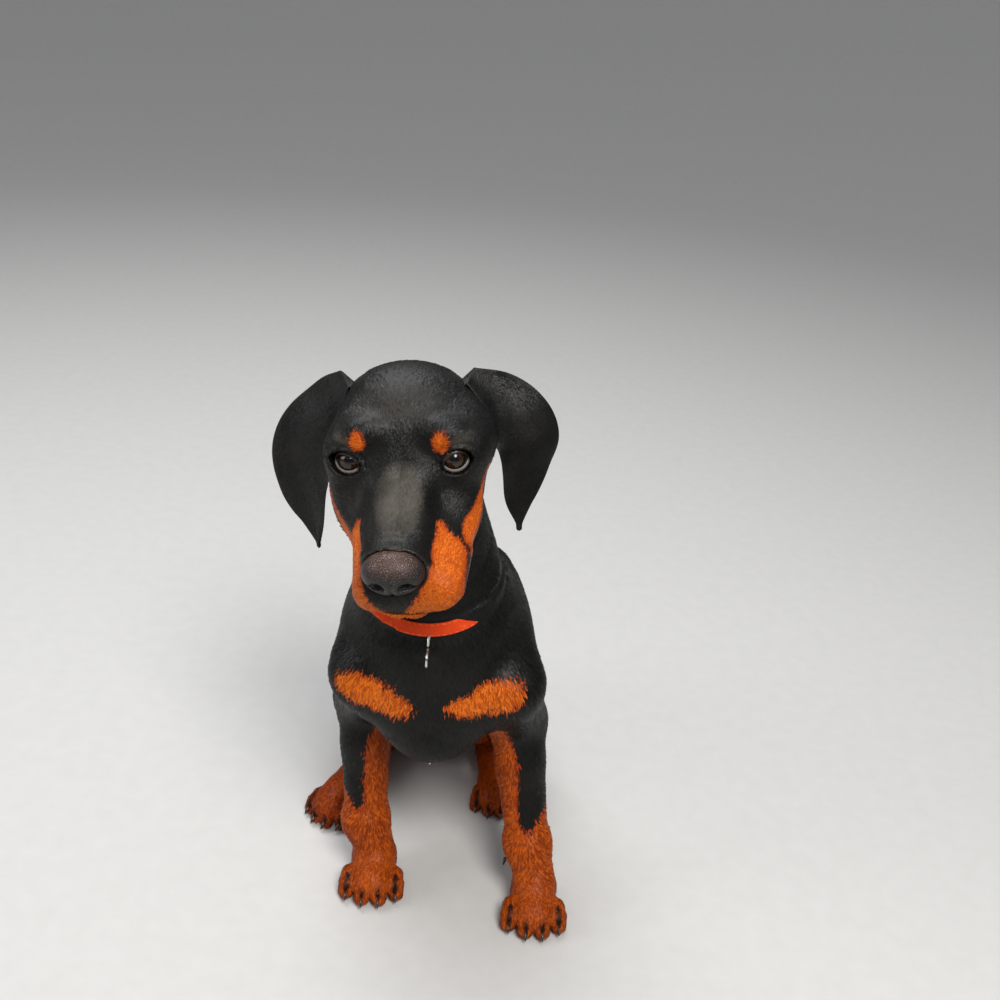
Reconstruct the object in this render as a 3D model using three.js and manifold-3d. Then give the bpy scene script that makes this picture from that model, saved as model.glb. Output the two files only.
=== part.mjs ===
// Doberman pinscher puppy, about eleven weeks old, sitting upright with hanging ears and a thin collar.
// Millimetres, +Z up. The puppy looks along -Y, and its own left side is +X.
import * as THREE from 'three';
import { mergeVertices } from 'three/addons/utils/BufferGeometryUtils.js';
import Module from 'manifold-3d';

const wasm = await Module();
wasm.setup();

// Driving dimensions

const GAP = 0.3;                // gap between neighbouring sub-parts
const FLOOR = 0;                // height of the surface that the puppy sits on
const ORIGIN_X = 17.0;          // moves the middle of the puppy to X = 0
const ORIGIN_Y = -58.6;         // moves the middle of the puppy to Y = 0

const CELL = { head: 7.9, neck: 13.5, torso: 17, leg: 11.4, paw: 7.2, tail: 8.8 };

// Head: its middle between the eyes, and how it is turned
const HEAD_MIDDLE = [-39.6, -115.8, 412.9];
const HEAD_NOD = 23;            // degrees, nose down
const HEAD_TURN = 2;            // degrees, towards the puppy's left
const HEAD_TILT = 5.5;          // degrees, left ear up

const SKULL_HALF_WIDTH = 53;
const EYE_RADIUS = 10;
// Middles of the eyeballs in head coordinates: side, forward, up
const EYES = { left: [35.5, 0.5, -5.4], right: [-35.5, 0.5, -7.6] };
const NOSE = [0, 84, -25];
const NOSE_SIZE = [21, 15, 15.5];
const LIP_LEAN = 8;             // how far the sides of the muzzle hang towards the puppy's left
const TEMPLE_LEAN = 6;          // how far the temples and cheeks lie to the puppy's left

const EAR_THICKNESS = 4.6;
const EAR_TIP_HALF_WIDTH = 2.5;

// Trunk: places along the middle, from the neck to the tail
const NECK_TOP = [-40, -52, 385];
const NECK_BASE = [-15, -56, 262];
const CHEST = [-11, -52, 222];
const KEEL_FRONT = [-9, -82, 177];
const KEEL_BACK = [-12, 10, 163];
const RIBS = [-16, 5, 186];
const WITHERS = [-18, 15, 262];
const BACK = [-22, 82, 212];
const LOIN = [-26, 120, 150];
const CROUP = [-30, 150, 93];
const BELLY = [-22, 62, 138];
const PELVIS = [-29, 118, 85];
const SEAT = { middle: [-29, 132, 38], spread: 30, radius: 39.5 };

const FORELEGS = {
  left: {
    blade: [22, -2, 256], shoulder: [47, -84, 208], elbow: [60, -55, 152], wrist: [78, -92, 52],
    paw: [87, -122, 0], pawTurn: 3,
  },
  right: {
    blade: [-54, -2, 256], shoulder: [-62, -81, 206], elbow: [-68, -48, 152], wrist: [-61, -80, 52],
    paw: [-51, -102, 0], pawTurn: 3,
  },
};
const HINDLEGS = {
  left: {
    thigh: [26, 86, 80], knee: [56, 40, 96], hock: [40, 86, 22], paw: [50, 12, 0], pawTurn: 0,
  },
  right: {
    thigh: [-72, 86, 80], knee: [-82, 34, 96], hock: [-64, 80, 22], paw: [-97, -20, 0], pawTurn: -30,
  },
};
const FOREPAW_HALF_WIDTH = 28;
const HINDPAW_HALF_WIDTH = 24;

const TAIL = { root: [-31, 166, 56], length: 205, rootRadius: 15, tipRadius: 4, bend: 40 };

// Vectors and frames

const radians = (degrees) => degrees * Math.PI / 180;
const add = (a, b, scale = 1) => a.map((value, i) => value + scale * b[i]);
const mix = (a, b, t) => a.map((value, i) => value + t * (b[i] - value));
const dot = (a, b) => a[0] * b[0] + a[1] * b[1] + a[2] * b[2];
const cross = (a, b) => [
  a[1] * b[2] - a[2] * b[1], a[2] * b[0] - a[0] * b[2], a[0] * b[1] - a[1] * b[0],
];
const unit = (a) => a.map((value) => value / Math.hypot(...a));
const clamp = (value, low, high) => Math.min(high, Math.max(low, value));

// Head axes: side (towards the puppy's left), forward (out of the nose) and up
function headAxes() {
  const nod = radians(HEAD_NOD);
  const turn = radians(HEAD_TURN);
  const tilt = radians(HEAD_TILT);
  const forward = [Math.sin(turn) * Math.cos(nod), -Math.cos(turn) * Math.cos(nod), -Math.sin(nod)];
  const level = [Math.cos(turn), Math.sin(turn), 0];
  const upright = cross(forward, level);
  const side = add(level.map((value) => value * Math.cos(tilt)), upright, Math.sin(tilt));
  const up = add(upright.map((value) => value * Math.cos(tilt)), level, -Math.sin(tilt));
  return [side, forward, up];
}
const HEAD_AXES = headAxes();
const toHead = (p) => {
  const offset = add(p, HEAD_MIDDLE, -1);
  return HEAD_AXES.map((axis) => dot(offset, axis));
};
const fromHead = (q) => HEAD_AXES.reduce((sum, axis, i) => add(sum, axis, q[i]), HEAD_MIDDLE);

// Distance forms: each returns a function of a point, negative inside

// Marks a form with a ball that holds it, so that far points can skip it
const within = (middle, reach, form) => Object.assign(form, { middle, reach });
const tapered = (a, b, radiusA, radiusB) => {
  const along = add(b, a, -1);
  const length2 = dot(along, along);
  const reach = Math.sqrt(length2) / 2 + Math.max(radiusA, radiusB);
  return within(mix(a, b, 0.5), reach, (p) => {
    const t = clamp(dot(add(p, a, -1), along) / length2, 0, 1);
    return Math.hypot(p[0] - a[0] - t * along[0], p[1] - a[1] - t * along[1], p[2] - a[2] - t * along[2])
      - radiusA - t * (radiusB - radiusA);
  });
};
const egg = (middle, radii, nod = 0, turn = 0) => {
  const cosNod = Math.cos(radians(nod));
  const sinNod = Math.sin(radians(nod));
  const cosTurn = Math.cos(radians(turn));
  const sinTurn = Math.sin(radians(turn));
  return within(middle, Math.max(...radii), (p) => {
    const x0 = p[0] - middle[0];
    const y0 = p[1] - middle[1];
    const z0 = p[2] - middle[2];
    const x = x0 * cosTurn + y0 * sinTurn;
    const y1 = -x0 * sinTurn + y0 * cosTurn;
    const y = y1 * cosNod + z0 * sinNod;
    const z = -y1 * sinNod + z0 * cosNod;
    const near = Math.hypot(x / radii[0], y / radii[1], z / radii[2]);
    const slope = Math.hypot(x / radii[0] ** 2, y / radii[1] ** 2, z / radii[2] ** 2);
    return slope > 0 ? near * (near - 1) / slope : -Math.min(...radii);
  });
};
const joined = (a, b, blend) => {
  const h = Math.max(blend - Math.abs(a - b), 0);
  return Math.min(a, b) - h * h / (4 * blend);
};
// Joins a list of [form, blend] pairs, in order, into one form
const merge = (forms) => (p) => {
  let distance = forms[0][0](p);
  for (let i = 1; i < forms.length; i++) {
    const [form, blend] = forms[i];
    const { middle, reach } = form;
    const near = Math.hypot(p[0] - middle[0], p[1] - middle[1], p[2] - middle[2]) - reach;
    if (near < distance + blend) distance = joined(distance, form(p), blend);
  }
  return distance;
};

// Head: skull, cheeks, muzzle, lips, jaw and brows, in head coordinates, mirrored from side to side

const skull = merge([
  [egg([0, -40, -8], [SKULL_HALF_WIDTH, 50, 34]), 0],
  [egg([34, -16, -30], [21, 36, 25], 0, 0), 16],
  [egg([40, -14, -8], [19.5, 28, 22]), 14],
  [tapered([7, 8, -24], [7, 68, -29], 24, 16.5), 16],
  [tapered([24, 20, -43], [20, 77, -47], 21, 18.5), 10],
  [egg([36, 6, -44], [17, 28, 20]), 14],
  [egg([0, 78, -50], [23, 16, 18]), 8],
  [tapered([9, 12, -60], [5, 78, -64], 17, 13), 8],
  [egg([27, -6, 12], [13, 9, 8]), 12],
  [egg([0, 76, -25], [21, 12, 15]), 4],
]);
const headShape = (q) => {
  const height = clamp((-22 - q[2]) / 16, 0, 1) * (1 - 0.4 * clamp((-48 - q[2]) / 14, 0, 1));
  const lean = LIP_LEAN * clamp((q[1] - 5) / 45, 0, 1) * height;
  const temple = TEMPLE_LEAN * Math.exp(-(((q[1] + 28) / 24) ** 2) - ((q[2] + 4) / 26) ** 2);
  return skull([Math.abs(q[0] - lean - temple), q[1], q[2]]);
};

// Trunk and legs

function pawForms(place, turn, halfWidth, length) {
  const angle = radians(turn);
  const forward = [Math.sin(angle), -Math.cos(angle), 0];
  const side = [Math.cos(angle), Math.sin(angle), 0];
  const at = (s, f, up) => add(add(place, side, s), forward, f).map((v, i) => (i === 2 ? up : v));
  const forms = [[tapered(at(0, -10, 15), at(0, 8, 15), halfWidth * 0.7, halfWidth * 0.62), 8]];
  for (const toe of [-1.5, -0.5, 0.5, 1.5]) {
    const outer = Math.abs(toe) > 1;
    const reach = (outer ? 0.62 : 0.8) * length;
    const spread = toe * halfWidth * 0.5;
    const radius = halfWidth * 0.285;
    const knuckle = at(spread * 0.9, reach - radius * 2.4, outer ? 15.5 : 18);
    const tip = at(spread, reach - radius, radius - 1);
    forms.push([tapered(knuckle, tip, radius, radius * 0.95), 2.4]);
  }
  return forms;
}

function forelegForms(leg) {
  const pastern = add(leg.paw, [0, 12, 26]);
  return [
    [tapered(leg.blade, leg.shoulder, 25, 29), 26],
    [tapered(leg.shoulder, leg.elbow, 29, 25), 14],
    [tapered(leg.elbow, leg.wrist, 23, 17.5), 10],
    [egg(add(leg.wrist, [0, -1, 2]), [19.5, 19, 20]), 8],
    [tapered(leg.wrist, pastern, 18, 18), 8],
    ...pawForms(leg.paw, leg.pawTurn, FOREPAW_HALF_WIDTH, 38),
  ];
}

function hindlegForms(leg) {
  const heel = add(leg.hock, [0, 10, 4]);
  const instep = [leg.paw[0], leg.paw[1], 17];
  return [
    [egg(leg.thigh, [32, 64, 52]), 20],
    [egg(add(leg.knee, [0, 2, -4]), [27, 26, 30]), 22],
    [tapered(leg.knee, leg.hock, 23, 14), 12],
    [tapered(leg.hock, heel, 13, 11), 6],
    [tapered([leg.hock[0], leg.hock[1], 14], instep, 14.5, 16), 8],
    ...pawForms(leg.paw, leg.pawTurn, HINDPAW_HALF_WIDTH, 33),
  ];
}

const sideways = (place, offset) => [place[0] + offset, place[1], place[2]];
const trunk = [
  [egg(CHEST, [67, 72, 72]), 0],
  [egg(RIBS, [70, 76, 76]), 30],
  [tapered(KEEL_FRONT, KEEL_BACK, 44, 43), 30],
  [egg(BELLY, [58, 62, 60]), 30],
  [egg(PELVIS, [60, 56, 60]), 30],
  [tapered(WITHERS, BACK, 26, 26), 30],
  [tapered(BACK, LOIN, 26, 27), 20],
  [tapered(LOIN, CROUP, 27, 32), 20],
  [tapered(NECK_BASE, NECK_TOP, 60, 44), 30],
  [tapered(sideways(SEAT.middle, SEAT.spread), PELVIS, SEAT.radius, 40), 16],
  [tapered(sideways(SEAT.middle, -SEAT.spread), PELVIS, SEAT.radius, 40), 16],
];

// Tail: from its root down to the floor and along it, in a slow bend to the left
function tailLine(t) {
  const along = TAIL.length * t;
  const swing = radians(TAIL.bend) * t ** 1.5;
  const drop = Math.exp(-((along / 34) ** 1.6));
  const radius = TAIL.rootRadius + (TAIL.tipRadius - TAIL.rootRadius) * t ** 0.8;
  const rest = radius - 0.8;
  return {
    place: [
      TAIL.root[0] + along * Math.sin(swing) * 0.75,
      TAIL.root[1] + along * Math.cos(swing) * 0.95,
      rest + (TAIL.root[2] - rest) * drop,
    ],
    radius,
  };
}
const TAIL_STEPS = 12;
const tailForms = Array.from({ length: TAIL_STEPS }, (_, i) => {
  const from = tailLine(i / TAIL_STEPS);
  const to = tailLine((i + 1) / TAIL_STEPS);
  return [tapered(from.place, to.place, from.radius, to.radius), i ? 2 : 14];
});

const flesh = merge([
  ...trunk,
  ...forelegForms(FORELEGS.left), ...forelegForms(FORELEGS.right),
  ...hindlegForms(HINDLEGS.left), ...hindlegForms(HINDLEGS.right),
  ...tailForms,
]);
const HEAD_REACH = 125;
const wholeBody = (p) => {
  const body = flesh(p);
  const away = Math.hypot(...add(p, HEAD_MIDDLE, -1)) - HEAD_REACH;
  return away > body + 14 ? body : joined(body, headShape(toHead(p)), 14);
};

// Polygons: a closed surface through the zero level of a form, one vertex for each sheet in a cell

const EDGE_START = [];
for (let axis = 0; axis < 3; axis++) {
  for (let j = 0; j < 2; j++) {
    for (let i = 0; i < 2; i++) EDGE_START.push([axis, (i << ((axis + 1) % 3)) | (j << ((axis + 2) % 3))]);
  }
}
const edgeAt = (axis, corner) =>
  axis * 4 + ((corner >> ((axis + 1) % 3)) & 1) + 2 * ((corner >> ((axis + 2) % 3)) & 1);

// For each pattern of inside corners, which sheet each crossed edge of the cell belongs to
function sheetsOf(pattern) {
  const inside = (corner) => (pattern >> corner) & 1;
  const crosses = ([axis, corner]) => inside(corner) !== inside(corner | (1 << axis));
  const sheet = EDGE_START.map((start, edge) => (crosses(start) ? edge : -1));
  const link = (a, b) => {
    const [keep, drop] = [Math.min(sheet[a], sheet[b]), Math.max(sheet[a], sheet[b])];
    for (let edge = 0; edge < 12; edge++) if (sheet[edge] === drop) sheet[edge] = keep;
  };
  for (let axis = 0; axis < 3; axis++) {
    const [b, c] = [(axis + 1) % 3, (axis + 2) % 3];
    for (const side of [0, 1 << axis]) {
      const corners = [side, side | (1 << b), side | (1 << b) | (1 << c), side | (1 << c)];
      const edges = [edgeAt(b, side), edgeAt(c, side | (1 << b)), edgeAt(b, side | (1 << c)), edgeAt(c, side)];
      const crossed = edges.filter((edge) => sheet[edge] >= 0);
      if (crossed.length === 2) link(crossed[0], crossed[1]);
      if (crossed.length === 4) {
        corners.forEach((corner, i) => {
          if (inside(corner)) link(edges[i], edges[(i + 3) % 4]);
        });
      }
    }
  }
  const names = [...new Set(sheet.filter((value) => value >= 0))];
  return { count: names.length, of: sheet.map((value) => names.indexOf(value)) };
}
const SHEETS = Array.from({ length: 256 }, (_, pattern) => sheetsOf(pattern));

function polygons(form, low, high, cell) {
  const size = low.map((value, i) => Math.ceil((high[i] - value) / cell) + 1);
  const index = (i, j, k) => (k * size[1] + j) * size[0] + i;
  const stride = [1, size[0], size[0] * size[1]];
  const value = new Float64Array(size[0] * size[1] * size[2]);
  for (let k = 0; k < size[2]; k++) {
    for (let j = 0; j < size[1]; j++) {
      for (let i = 0; i < size[0]; i++) {
        const edge = [i, j, k].some((n, axis) => n === 0 || n === size[axis] - 1);
        const d = form([low[0] + i * cell, low[1] + j * cell, low[2] + k * cell]);
        value[index(i, j, k)] = edge ? Math.max(d, cell / 2) : d;
      }
    }
  }
  const vertices = [];
  const first = new Map();
  const patterns = new Map();
  for (let k = 0; k < size[2] - 1; k++) {
    for (let j = 0; j < size[1] - 1; j++) {
      for (let i = 0; i < size[0] - 1; i++) {
        const home = index(i, j, k);
        let pattern = 0;
        for (let corner = 0; corner < 8; corner++) {
          const at = home + (corner & 1) + ((corner >> 1) & 1) * stride[1] + (corner >> 2) * stride[2];
          if (value[at] < 0) pattern |= 1 << corner;
        }
        if (pattern === 0 || pattern === 255) continue;
        const sheets = SHEETS[pattern];
        first.set(home, vertices.length);
        patterns.set(home, pattern);
        for (let sheet = 0; sheet < sheets.count; sheet++) {
          const sum = [0, 0, 0];
          let crossings = 0;
          EDGE_START.forEach(([axis, corner], edge) => {
            if (sheets.of[edge] !== sheet) return;
            const bits = [corner & 1, (corner >> 1) & 1, corner >> 2];
            const from = home + bits[0] + bits[1] * stride[1] + bits[2] * stride[2];
            const t = value[from] / (value[from] - value[from + stride[axis]]);
            for (let a = 0; a < 3; a++) sum[a] += bits[a] + (a === axis ? t : 0);
            crossings += 1;
          });
          vertices.push([i, j, k].map((n, a) => low[a] + (n + sum[a] / crossings) * cell));
        }
      }
    }
  }
  const triangles = [];
  const apart = (a, b) => Math.hypot(...add(vertices[a], vertices[b], -1));
  for (let k = 0; k < size[2] - 1; k++) {
    for (let j = 0; j < size[1] - 1; j++) {
      for (let i = 0; i < size[0] - 1; i++) {
        const home = index(i, j, k);
        for (let axis = 0; axis < 3; axis++) {
          const [b, c] = [(axis + 1) % 3, (axis + 2) % 3];
          const startsInside = value[home] < 0;
          const onEdge = [i, j, k][b] === 0 || [i, j, k][c] === 0;
          if (onEdge || startsInside === value[home + stride[axis]] < 0) continue;
          const ring = [[0, 0], [1, 0], [1, 1], [0, 1]].map(([m, n]) => {
            const cellHome = home - m * stride[b] - n * stride[c];
            return first.get(cellHome) + SHEETS[patterns.get(cellHome)].of[axis * 4 + m + 2 * n];
          });
          if (!startsInside) ring.reverse();
          const [p, q, r, s] = ring;
          if (apart(p, r) < apart(q, s)) triangles.push(p, q, r, p, r, s);
          else triangles.push(p, q, s, q, r, s);
        }
      }
    }
  }
  vertices.forEach((vertex, i) => { vertices[i] = settled(form, vertex, cell); });
  return { vertices, triangles };
}

// Moves a vertex along the slope of the form until it lies on the zero level
function settled(form, start, cell) {
  const step = 0.2;
  let p = start;
  for (let round = 0; round < 3; round++) {
    const d = form(p);
    const slope = [0, 1, 2].map((axis) => {
      const shift = [0, 0, 0];
      shift[axis] = step;
      return (form(add(p, shift)) - form(add(p, shift, -1))) / (2 * step);
    });
    const steep = Math.max(dot(slope, slope), 0.25);
    const move = clamp(d / steep, -cell / 3, cell / 3);
    p = add(p, slope, -move);
  }
  const drift = add(p, start, -1);
  const far = Math.hypot(...drift);
  return far > cell * 0.6 ? add(start, drift, cell * 0.6 / far) : p;
}

// Solids: joining and cutting closed meshes

function solidOf({ vertices, triangles }) {
  return new wasm.Manifold(new wasm.Mesh({
    numProp: 3,
    vertProperties: new Float32Array(vertices.flat()),
    triVerts: new Uint32Array(triangles),
  }));
}
function solidFrom(geometry) {
  const bare = geometry.clone();
  bare.deleteAttribute('normal');
  bare.deleteAttribute('uv');
  const merged = mergeVertices(bare, 1e-4);
  return new wasm.Manifold(new wasm.Mesh({
    numProp: 3,
    vertProperties: new Float32Array(merged.attributes.position.array),
    triVerts: new Uint32Array(merged.index.array),
  }));
}
function largest(solid) {
  return solid.decompose().reduce((best, piece) => (piece.volume() > best.volume() ? piece : best));
}
const box = (low, high, grow = 0) => {
  const size = high.map((value, i) => value - low[i] + 2 * grow);
  const geometry = new THREE.BoxGeometry(...size);
  return solidFrom(geometry.translate(...mix(low, high, 0.5)));
};
// A wide block on the side of a plane that its normal points to
const FAR = 900;
function beyond(point, normal, shift = 0) {
  const geometry = new THREE.BoxGeometry(FAR, FAR, FAR);
  geometry.translate(0, 0, FAR / 2);
  const upward = new THREE.Vector3(0, 0, 1);
  const turn = new THREE.Quaternion().setFromUnitVectors(upward, new THREE.Vector3(...normal));
  geometry.applyQuaternion(turn);
  return solidFrom(geometry.translate(...add(point, normal, shift)));
}
// A squashed ball in head coordinates
function headBall(middle, radii, segments = 16) {
  const geometry = new THREE.SphereGeometry(1, segments, Math.round(segments * 0.7));
  const [side, forward, up] = HEAD_AXES.map((axis) => new THREE.Vector3(...axis));
  const frame = new THREE.Matrix4().makeBasis(
    side.multiplyScalar(-radii[0]), forward.multiplyScalar(radii[1]), up.multiplyScalar(radii[2]),
  );
  geometry.applyMatrix4(frame.setPosition(...fromHead(middle)));
  return solidFrom(geometry);
}
const grown = (radii, by = GAP) => radii.map((radius) => radius + by);

// Where the sub-parts part

const HEAD_CUT = { point: [-36, -60, 356], normal: unit([-0.05, -0.62, 0.78]) };
const NECK_CUT = { point: [-14, -120, 248], normal: unit([-0.06, -0.36, 1]) };
const TAIL_CUT = { point: [-30, 184, 40], normal: [0, 1, 0] };
const REGIONS = {
  forepaw_left: [[30, -180, -20], [140, -62, 40]],
  forepaw_right: [[-110, -180, -20], [0, -56, 40]],
  foreleg_left: [[34, -180, 40 + GAP], [140, -26, 170]],
  foreleg_right: [[-120, -180, 40 + GAP], [-38, -20, 170]],
  hindpaw_left: [[15, -60, -20], [95, 36, 44]],
  hindpaw_right: [[-160, -54, -20], [-68, 20, 44]],
  shank_left: [[14, 36 + GAP, -20], [95, 99, 60]],
  shank_right: [[-130, 20 + GAP, -20], [-44, 95, 60]],
  thigh_left: [[32, 0, 60 + GAP], [95, 125, 136]],
  thigh_right: [[-130, -6, 60 + GAP], [-82, 125, 136]],
};

const BODY_LOW = [-150, -230, -12];
const BODY_HIGH = [135, 400, 480];
const floorUp = () => beyond([0, 0, FLOOR], [0, 0, 1]);

function fleshIn(low, high, cell, margin = 0) {
  const reach = 3 * cell;
  return solidOf(polygons(
    (p) => wholeBody(p) - margin,
    low.map((value, i) => Math.max(value - reach, BODY_LOW[i])),
    high.map((value, i) => Math.min(value + reach, BODY_HIGH[i])),
    cell,
  ));
}

// Claws: one for each toe, curved down a little, sunk into the toe

function claws(leg, halfWidth, length) {
  const angle = radians(leg.pawTurn);
  const forward = [Math.sin(angle), -Math.cos(angle), 0];
  const side = [Math.cos(angle), Math.sin(angle), 0];
  return [-1.5, -0.5, 0.5, 1.5].map((toe) => {
    const reach = (Math.abs(toe) > 1 ? 0.62 : 0.8) * length - 4.5;
    const root = add(add(leg.paw, side, toe * halfWidth * 0.5), forward, reach);
    const geometry = new THREE.ConeGeometry(2.8, 10, 6);
    geometry.translate(0, 5, 0);
    const aim = new THREE.Vector3(...unit([forward[0], forward[1], -0.75]));
    geometry.applyQuaternion(new THREE.Quaternion().setFromUnitVectors(new THREE.Vector3(0, 1, 0), aim));
    return solidFrom(geometry.translate(root[0], root[1], 9));
  });
}

function limb(name, cell, extras = []) {
  const [low, high] = REGIONS[name];
  let solid = fleshIn(low, high, cell);
  extras.forEach((extra) => { solid = solid.add(extra); });
  return largest(solid.intersect(box(low, high)).intersect(floorUp()));
}

// Head: flesh with lids raised round the eyes, the mouth line cut in, and seats for nose and eyes

const LID_THICKNESS = 2.2;
const MOUTH_LINE = [[100, -60], [84, -62], [66, -60], [48, -56], [34, -51], [24, -46]];
const MOUTH_DEPTH = 4;
const MOUTH_GAPE = 2.4;

function mouthCut() {
  const upper = MOUTH_LINE.map(([forward, up]) => new THREE.Vector2(forward, up + MOUTH_GAPE / 2));
  const lower = MOUTH_LINE.map(([forward, up]) => new THREE.Vector2(forward, up - MOUTH_GAPE / 2)).reverse();
  const depth = 140;
  const outline = new THREE.Shape([...upper, ...lower]);
  const sheet = new THREE.ExtrudeGeometry(outline, { depth, bevelEnabled: false });
  sheet.translate(0, 0, -depth / 2);
  const [side, forward, up] = HEAD_AXES.map((axis) => new THREE.Vector3(...axis));
  const across = side.negate();
  sheet.applyMatrix4(new THREE.Matrix4().makeBasis(forward, up, across).setPosition(...HEAD_MIDDLE));
  const core = fleshIn([-110, -230, 280], [40, -90, 420], 9, -MOUTH_DEPTH);
  return solidFrom(sheet).subtract(core);
}

const HEAD_LOW = [-110, -230, 285];
const HEAD_HIGH = [40, 0, 470];

function headSolid() {
  let solid = fleshIn(HEAD_LOW, HEAD_HIGH, CELL.head);
  for (const [sideName, place] of Object.entries(EYES)) {
    const outward = sideName === 'left' ? 1 : -1;
    const lidRadius = EYE_RADIUS + LID_THICKNESS;
    solid = solid.add(headBall(place, [lidRadius, lidRadius, lidRadius], 12));
    solid = solid.subtract(headBall(place, grown([EYE_RADIUS, EYE_RADIUS, EYE_RADIUS]), 12));
    const opening = add(place, [outward * 2.6, 8.6, 4.2]);
    solid = solid.subtract(headBall(opening, [9, 8.5, 6.4], 10));
  }
  solid = solid.subtract(headBall(NOSE, grown(NOSE_SIZE)));
  solid = solid.subtract(mouthCut());
  return largest(solid.intersect(beyond(HEAD_CUT.point, HEAD_CUT.normal, GAP / 2)));
}

function noseSolid() {
  let solid = headBall(NOSE, NOSE_SIZE);
  for (const outward of [-1, 1]) {
    const nostril = [outward * 9.5, NOSE[1] + 13.5, NOSE[2] - 2];
    solid = solid.subtract(headBall(nostril, [4.4, 6.5, 4], 10));
    const slit = [outward * 16, NOSE[1] + 9, NOSE[2] - 4.5];
    solid = solid.subtract(headBall(slit, [6, 5, 1.6], 8));
  }
  return largest(solid);
}

// Ears: a thin leaf between a front and a back edge that rises from the skull, folds over and hangs

const EARS = {
  left: {
    front: [[41, -56, 11], [51, -44, -1], [58, -32, -16], [63, -18, -32], [68, -4, -59], [78, 2, -77]],
    back: [
      [48, -68, 13], [78, -68, -2], [98, -62, -16], [108, -54, -34], [104, -42, -52], [93, -22, -65],
      [79, 2, -78],
    ],
  },
  right: {
    front: [[-45, -56, 10], [-53, -46, -4], [-57, -36, -18], [-59, -20, -41], [-62, -4, -72], [-71, 4, -98]],
    back: [
      [-49, -66, 11], [-72, -68, -15], [-93, -62, -40], [-108, -52, -67], [-108, -40, -81], [-92, -18, -91],
      [-73, 4, -98],
    ],
  },
};
const EAR_ROOT_SINK = [-16, 6, -14];
const EAR_STATIONS = 13;
const EAR_SIDE_POINTS = 6;

const smoothLine = (points) =>
  new THREE.CatmullRomCurve3(points.map((p) => new THREE.Vector3(...p)), false, 'catmullrom', 0.5);
function earStation(ear, t) {
  const [frontLine, backLine] = [smoothLine(ear.front), smoothLine(ear.back)];
  const frontEdge = (u) => frontLine.getPoint(u).toArray();
  const backEdge = (u) => backLine.getPoint(u).toArray();
  const middleAt = (u) => mix(frontEdge(u), backEdge(u), 0.5);
  const width = add(backEdge(t), frontEdge(t), -1);
  const step = 0.02;
  const along = unit(add(middleAt(Math.min(t + step, 1)), middleAt(Math.max(t - step, 0)), -1));
  const lean = t < 0.9 ? width : add(backEdge(0.9), frontEdge(0.9), -1);
  const across = unit(add(lean, along, -dot(lean, along)));
  const halfWidth = Math.max(Math.hypot(...width) / 2, EAR_TIP_HALF_WIDTH);
  return { middle: middleAt(t), across, face: unit(cross(along, across)), halfWidth };
}

function earSolid(sideName, headCutter) {
  const ear = EARS[sideName];
  const outward = sideName === 'left' ? 1 : -1;
  const vertices = [];
  const triangles = [];
  const ring = 2 * EAR_SIDE_POINTS;
  for (let station = 0; station <= EAR_STATIONS; station++) {
    const t = Math.max(station - 1, 0) / (EAR_STATIONS - 1);
    const { middle, across, face, halfWidth } = earStation(ear, t);
    const [inward, ahead, down] = EAR_ROOT_SINK;
    const sink = station === 0 ? [inward * outward, ahead, down] : [0, 0, 0];
    for (let i = 0; i < ring; i++) {
      const angle = 2 * Math.PI * i / ring;
      const w = Math.cos(angle);
      const cup = (0.3 - 0.18 * t) * halfWidth * (w * w - 0.4) * -outward;
      const thick = Math.sin(angle) * EAR_THICKNESS / 2;
      const q = add(add(add(middle, sink), across, w * halfWidth), face, cup + thick);
      vertices.push(fromHead(q));
    }
  }
  for (let station = 0; station < EAR_STATIONS; station++) {
    for (let i = 0; i < ring; i++) {
      const a = station * ring + i;
      const b = station * ring + (i + 1) % ring;
      triangles.push(a, b, b + ring, a, b + ring, a + ring);
    }
  }
  const end = EAR_STATIONS * ring;
  for (let i = 1; i < ring - 1; i++) triangles.push(0, i + 1, i, end, end + i, end + i + 1);
  let solid = solidOf({ vertices, triangles });
  if (solid.volume() < 0) {
    for (let i = 0; i < triangles.length; i += 3) {
      [triangles[i], triangles[i + 1]] = [triangles[i + 1], triangles[i]];
    }
    solid = solidOf({ vertices, triangles });
  }
  return largest(solid.subtract(headCutter));
}

// Collar: a flat strap that lies on the neck, with a split ring and a plain round tag

const COLLAR = {
  point: [-14, -120, 272.5], normal: unit([-0.06, -0.36, 1]), reach: 64, steps: 32,
  width: 10, inner: -1.6, outer: 1.2,
};

const NECK_LOW = [-120, -170, 225];
const NECK_HIGH = [80, 60, 420];
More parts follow.
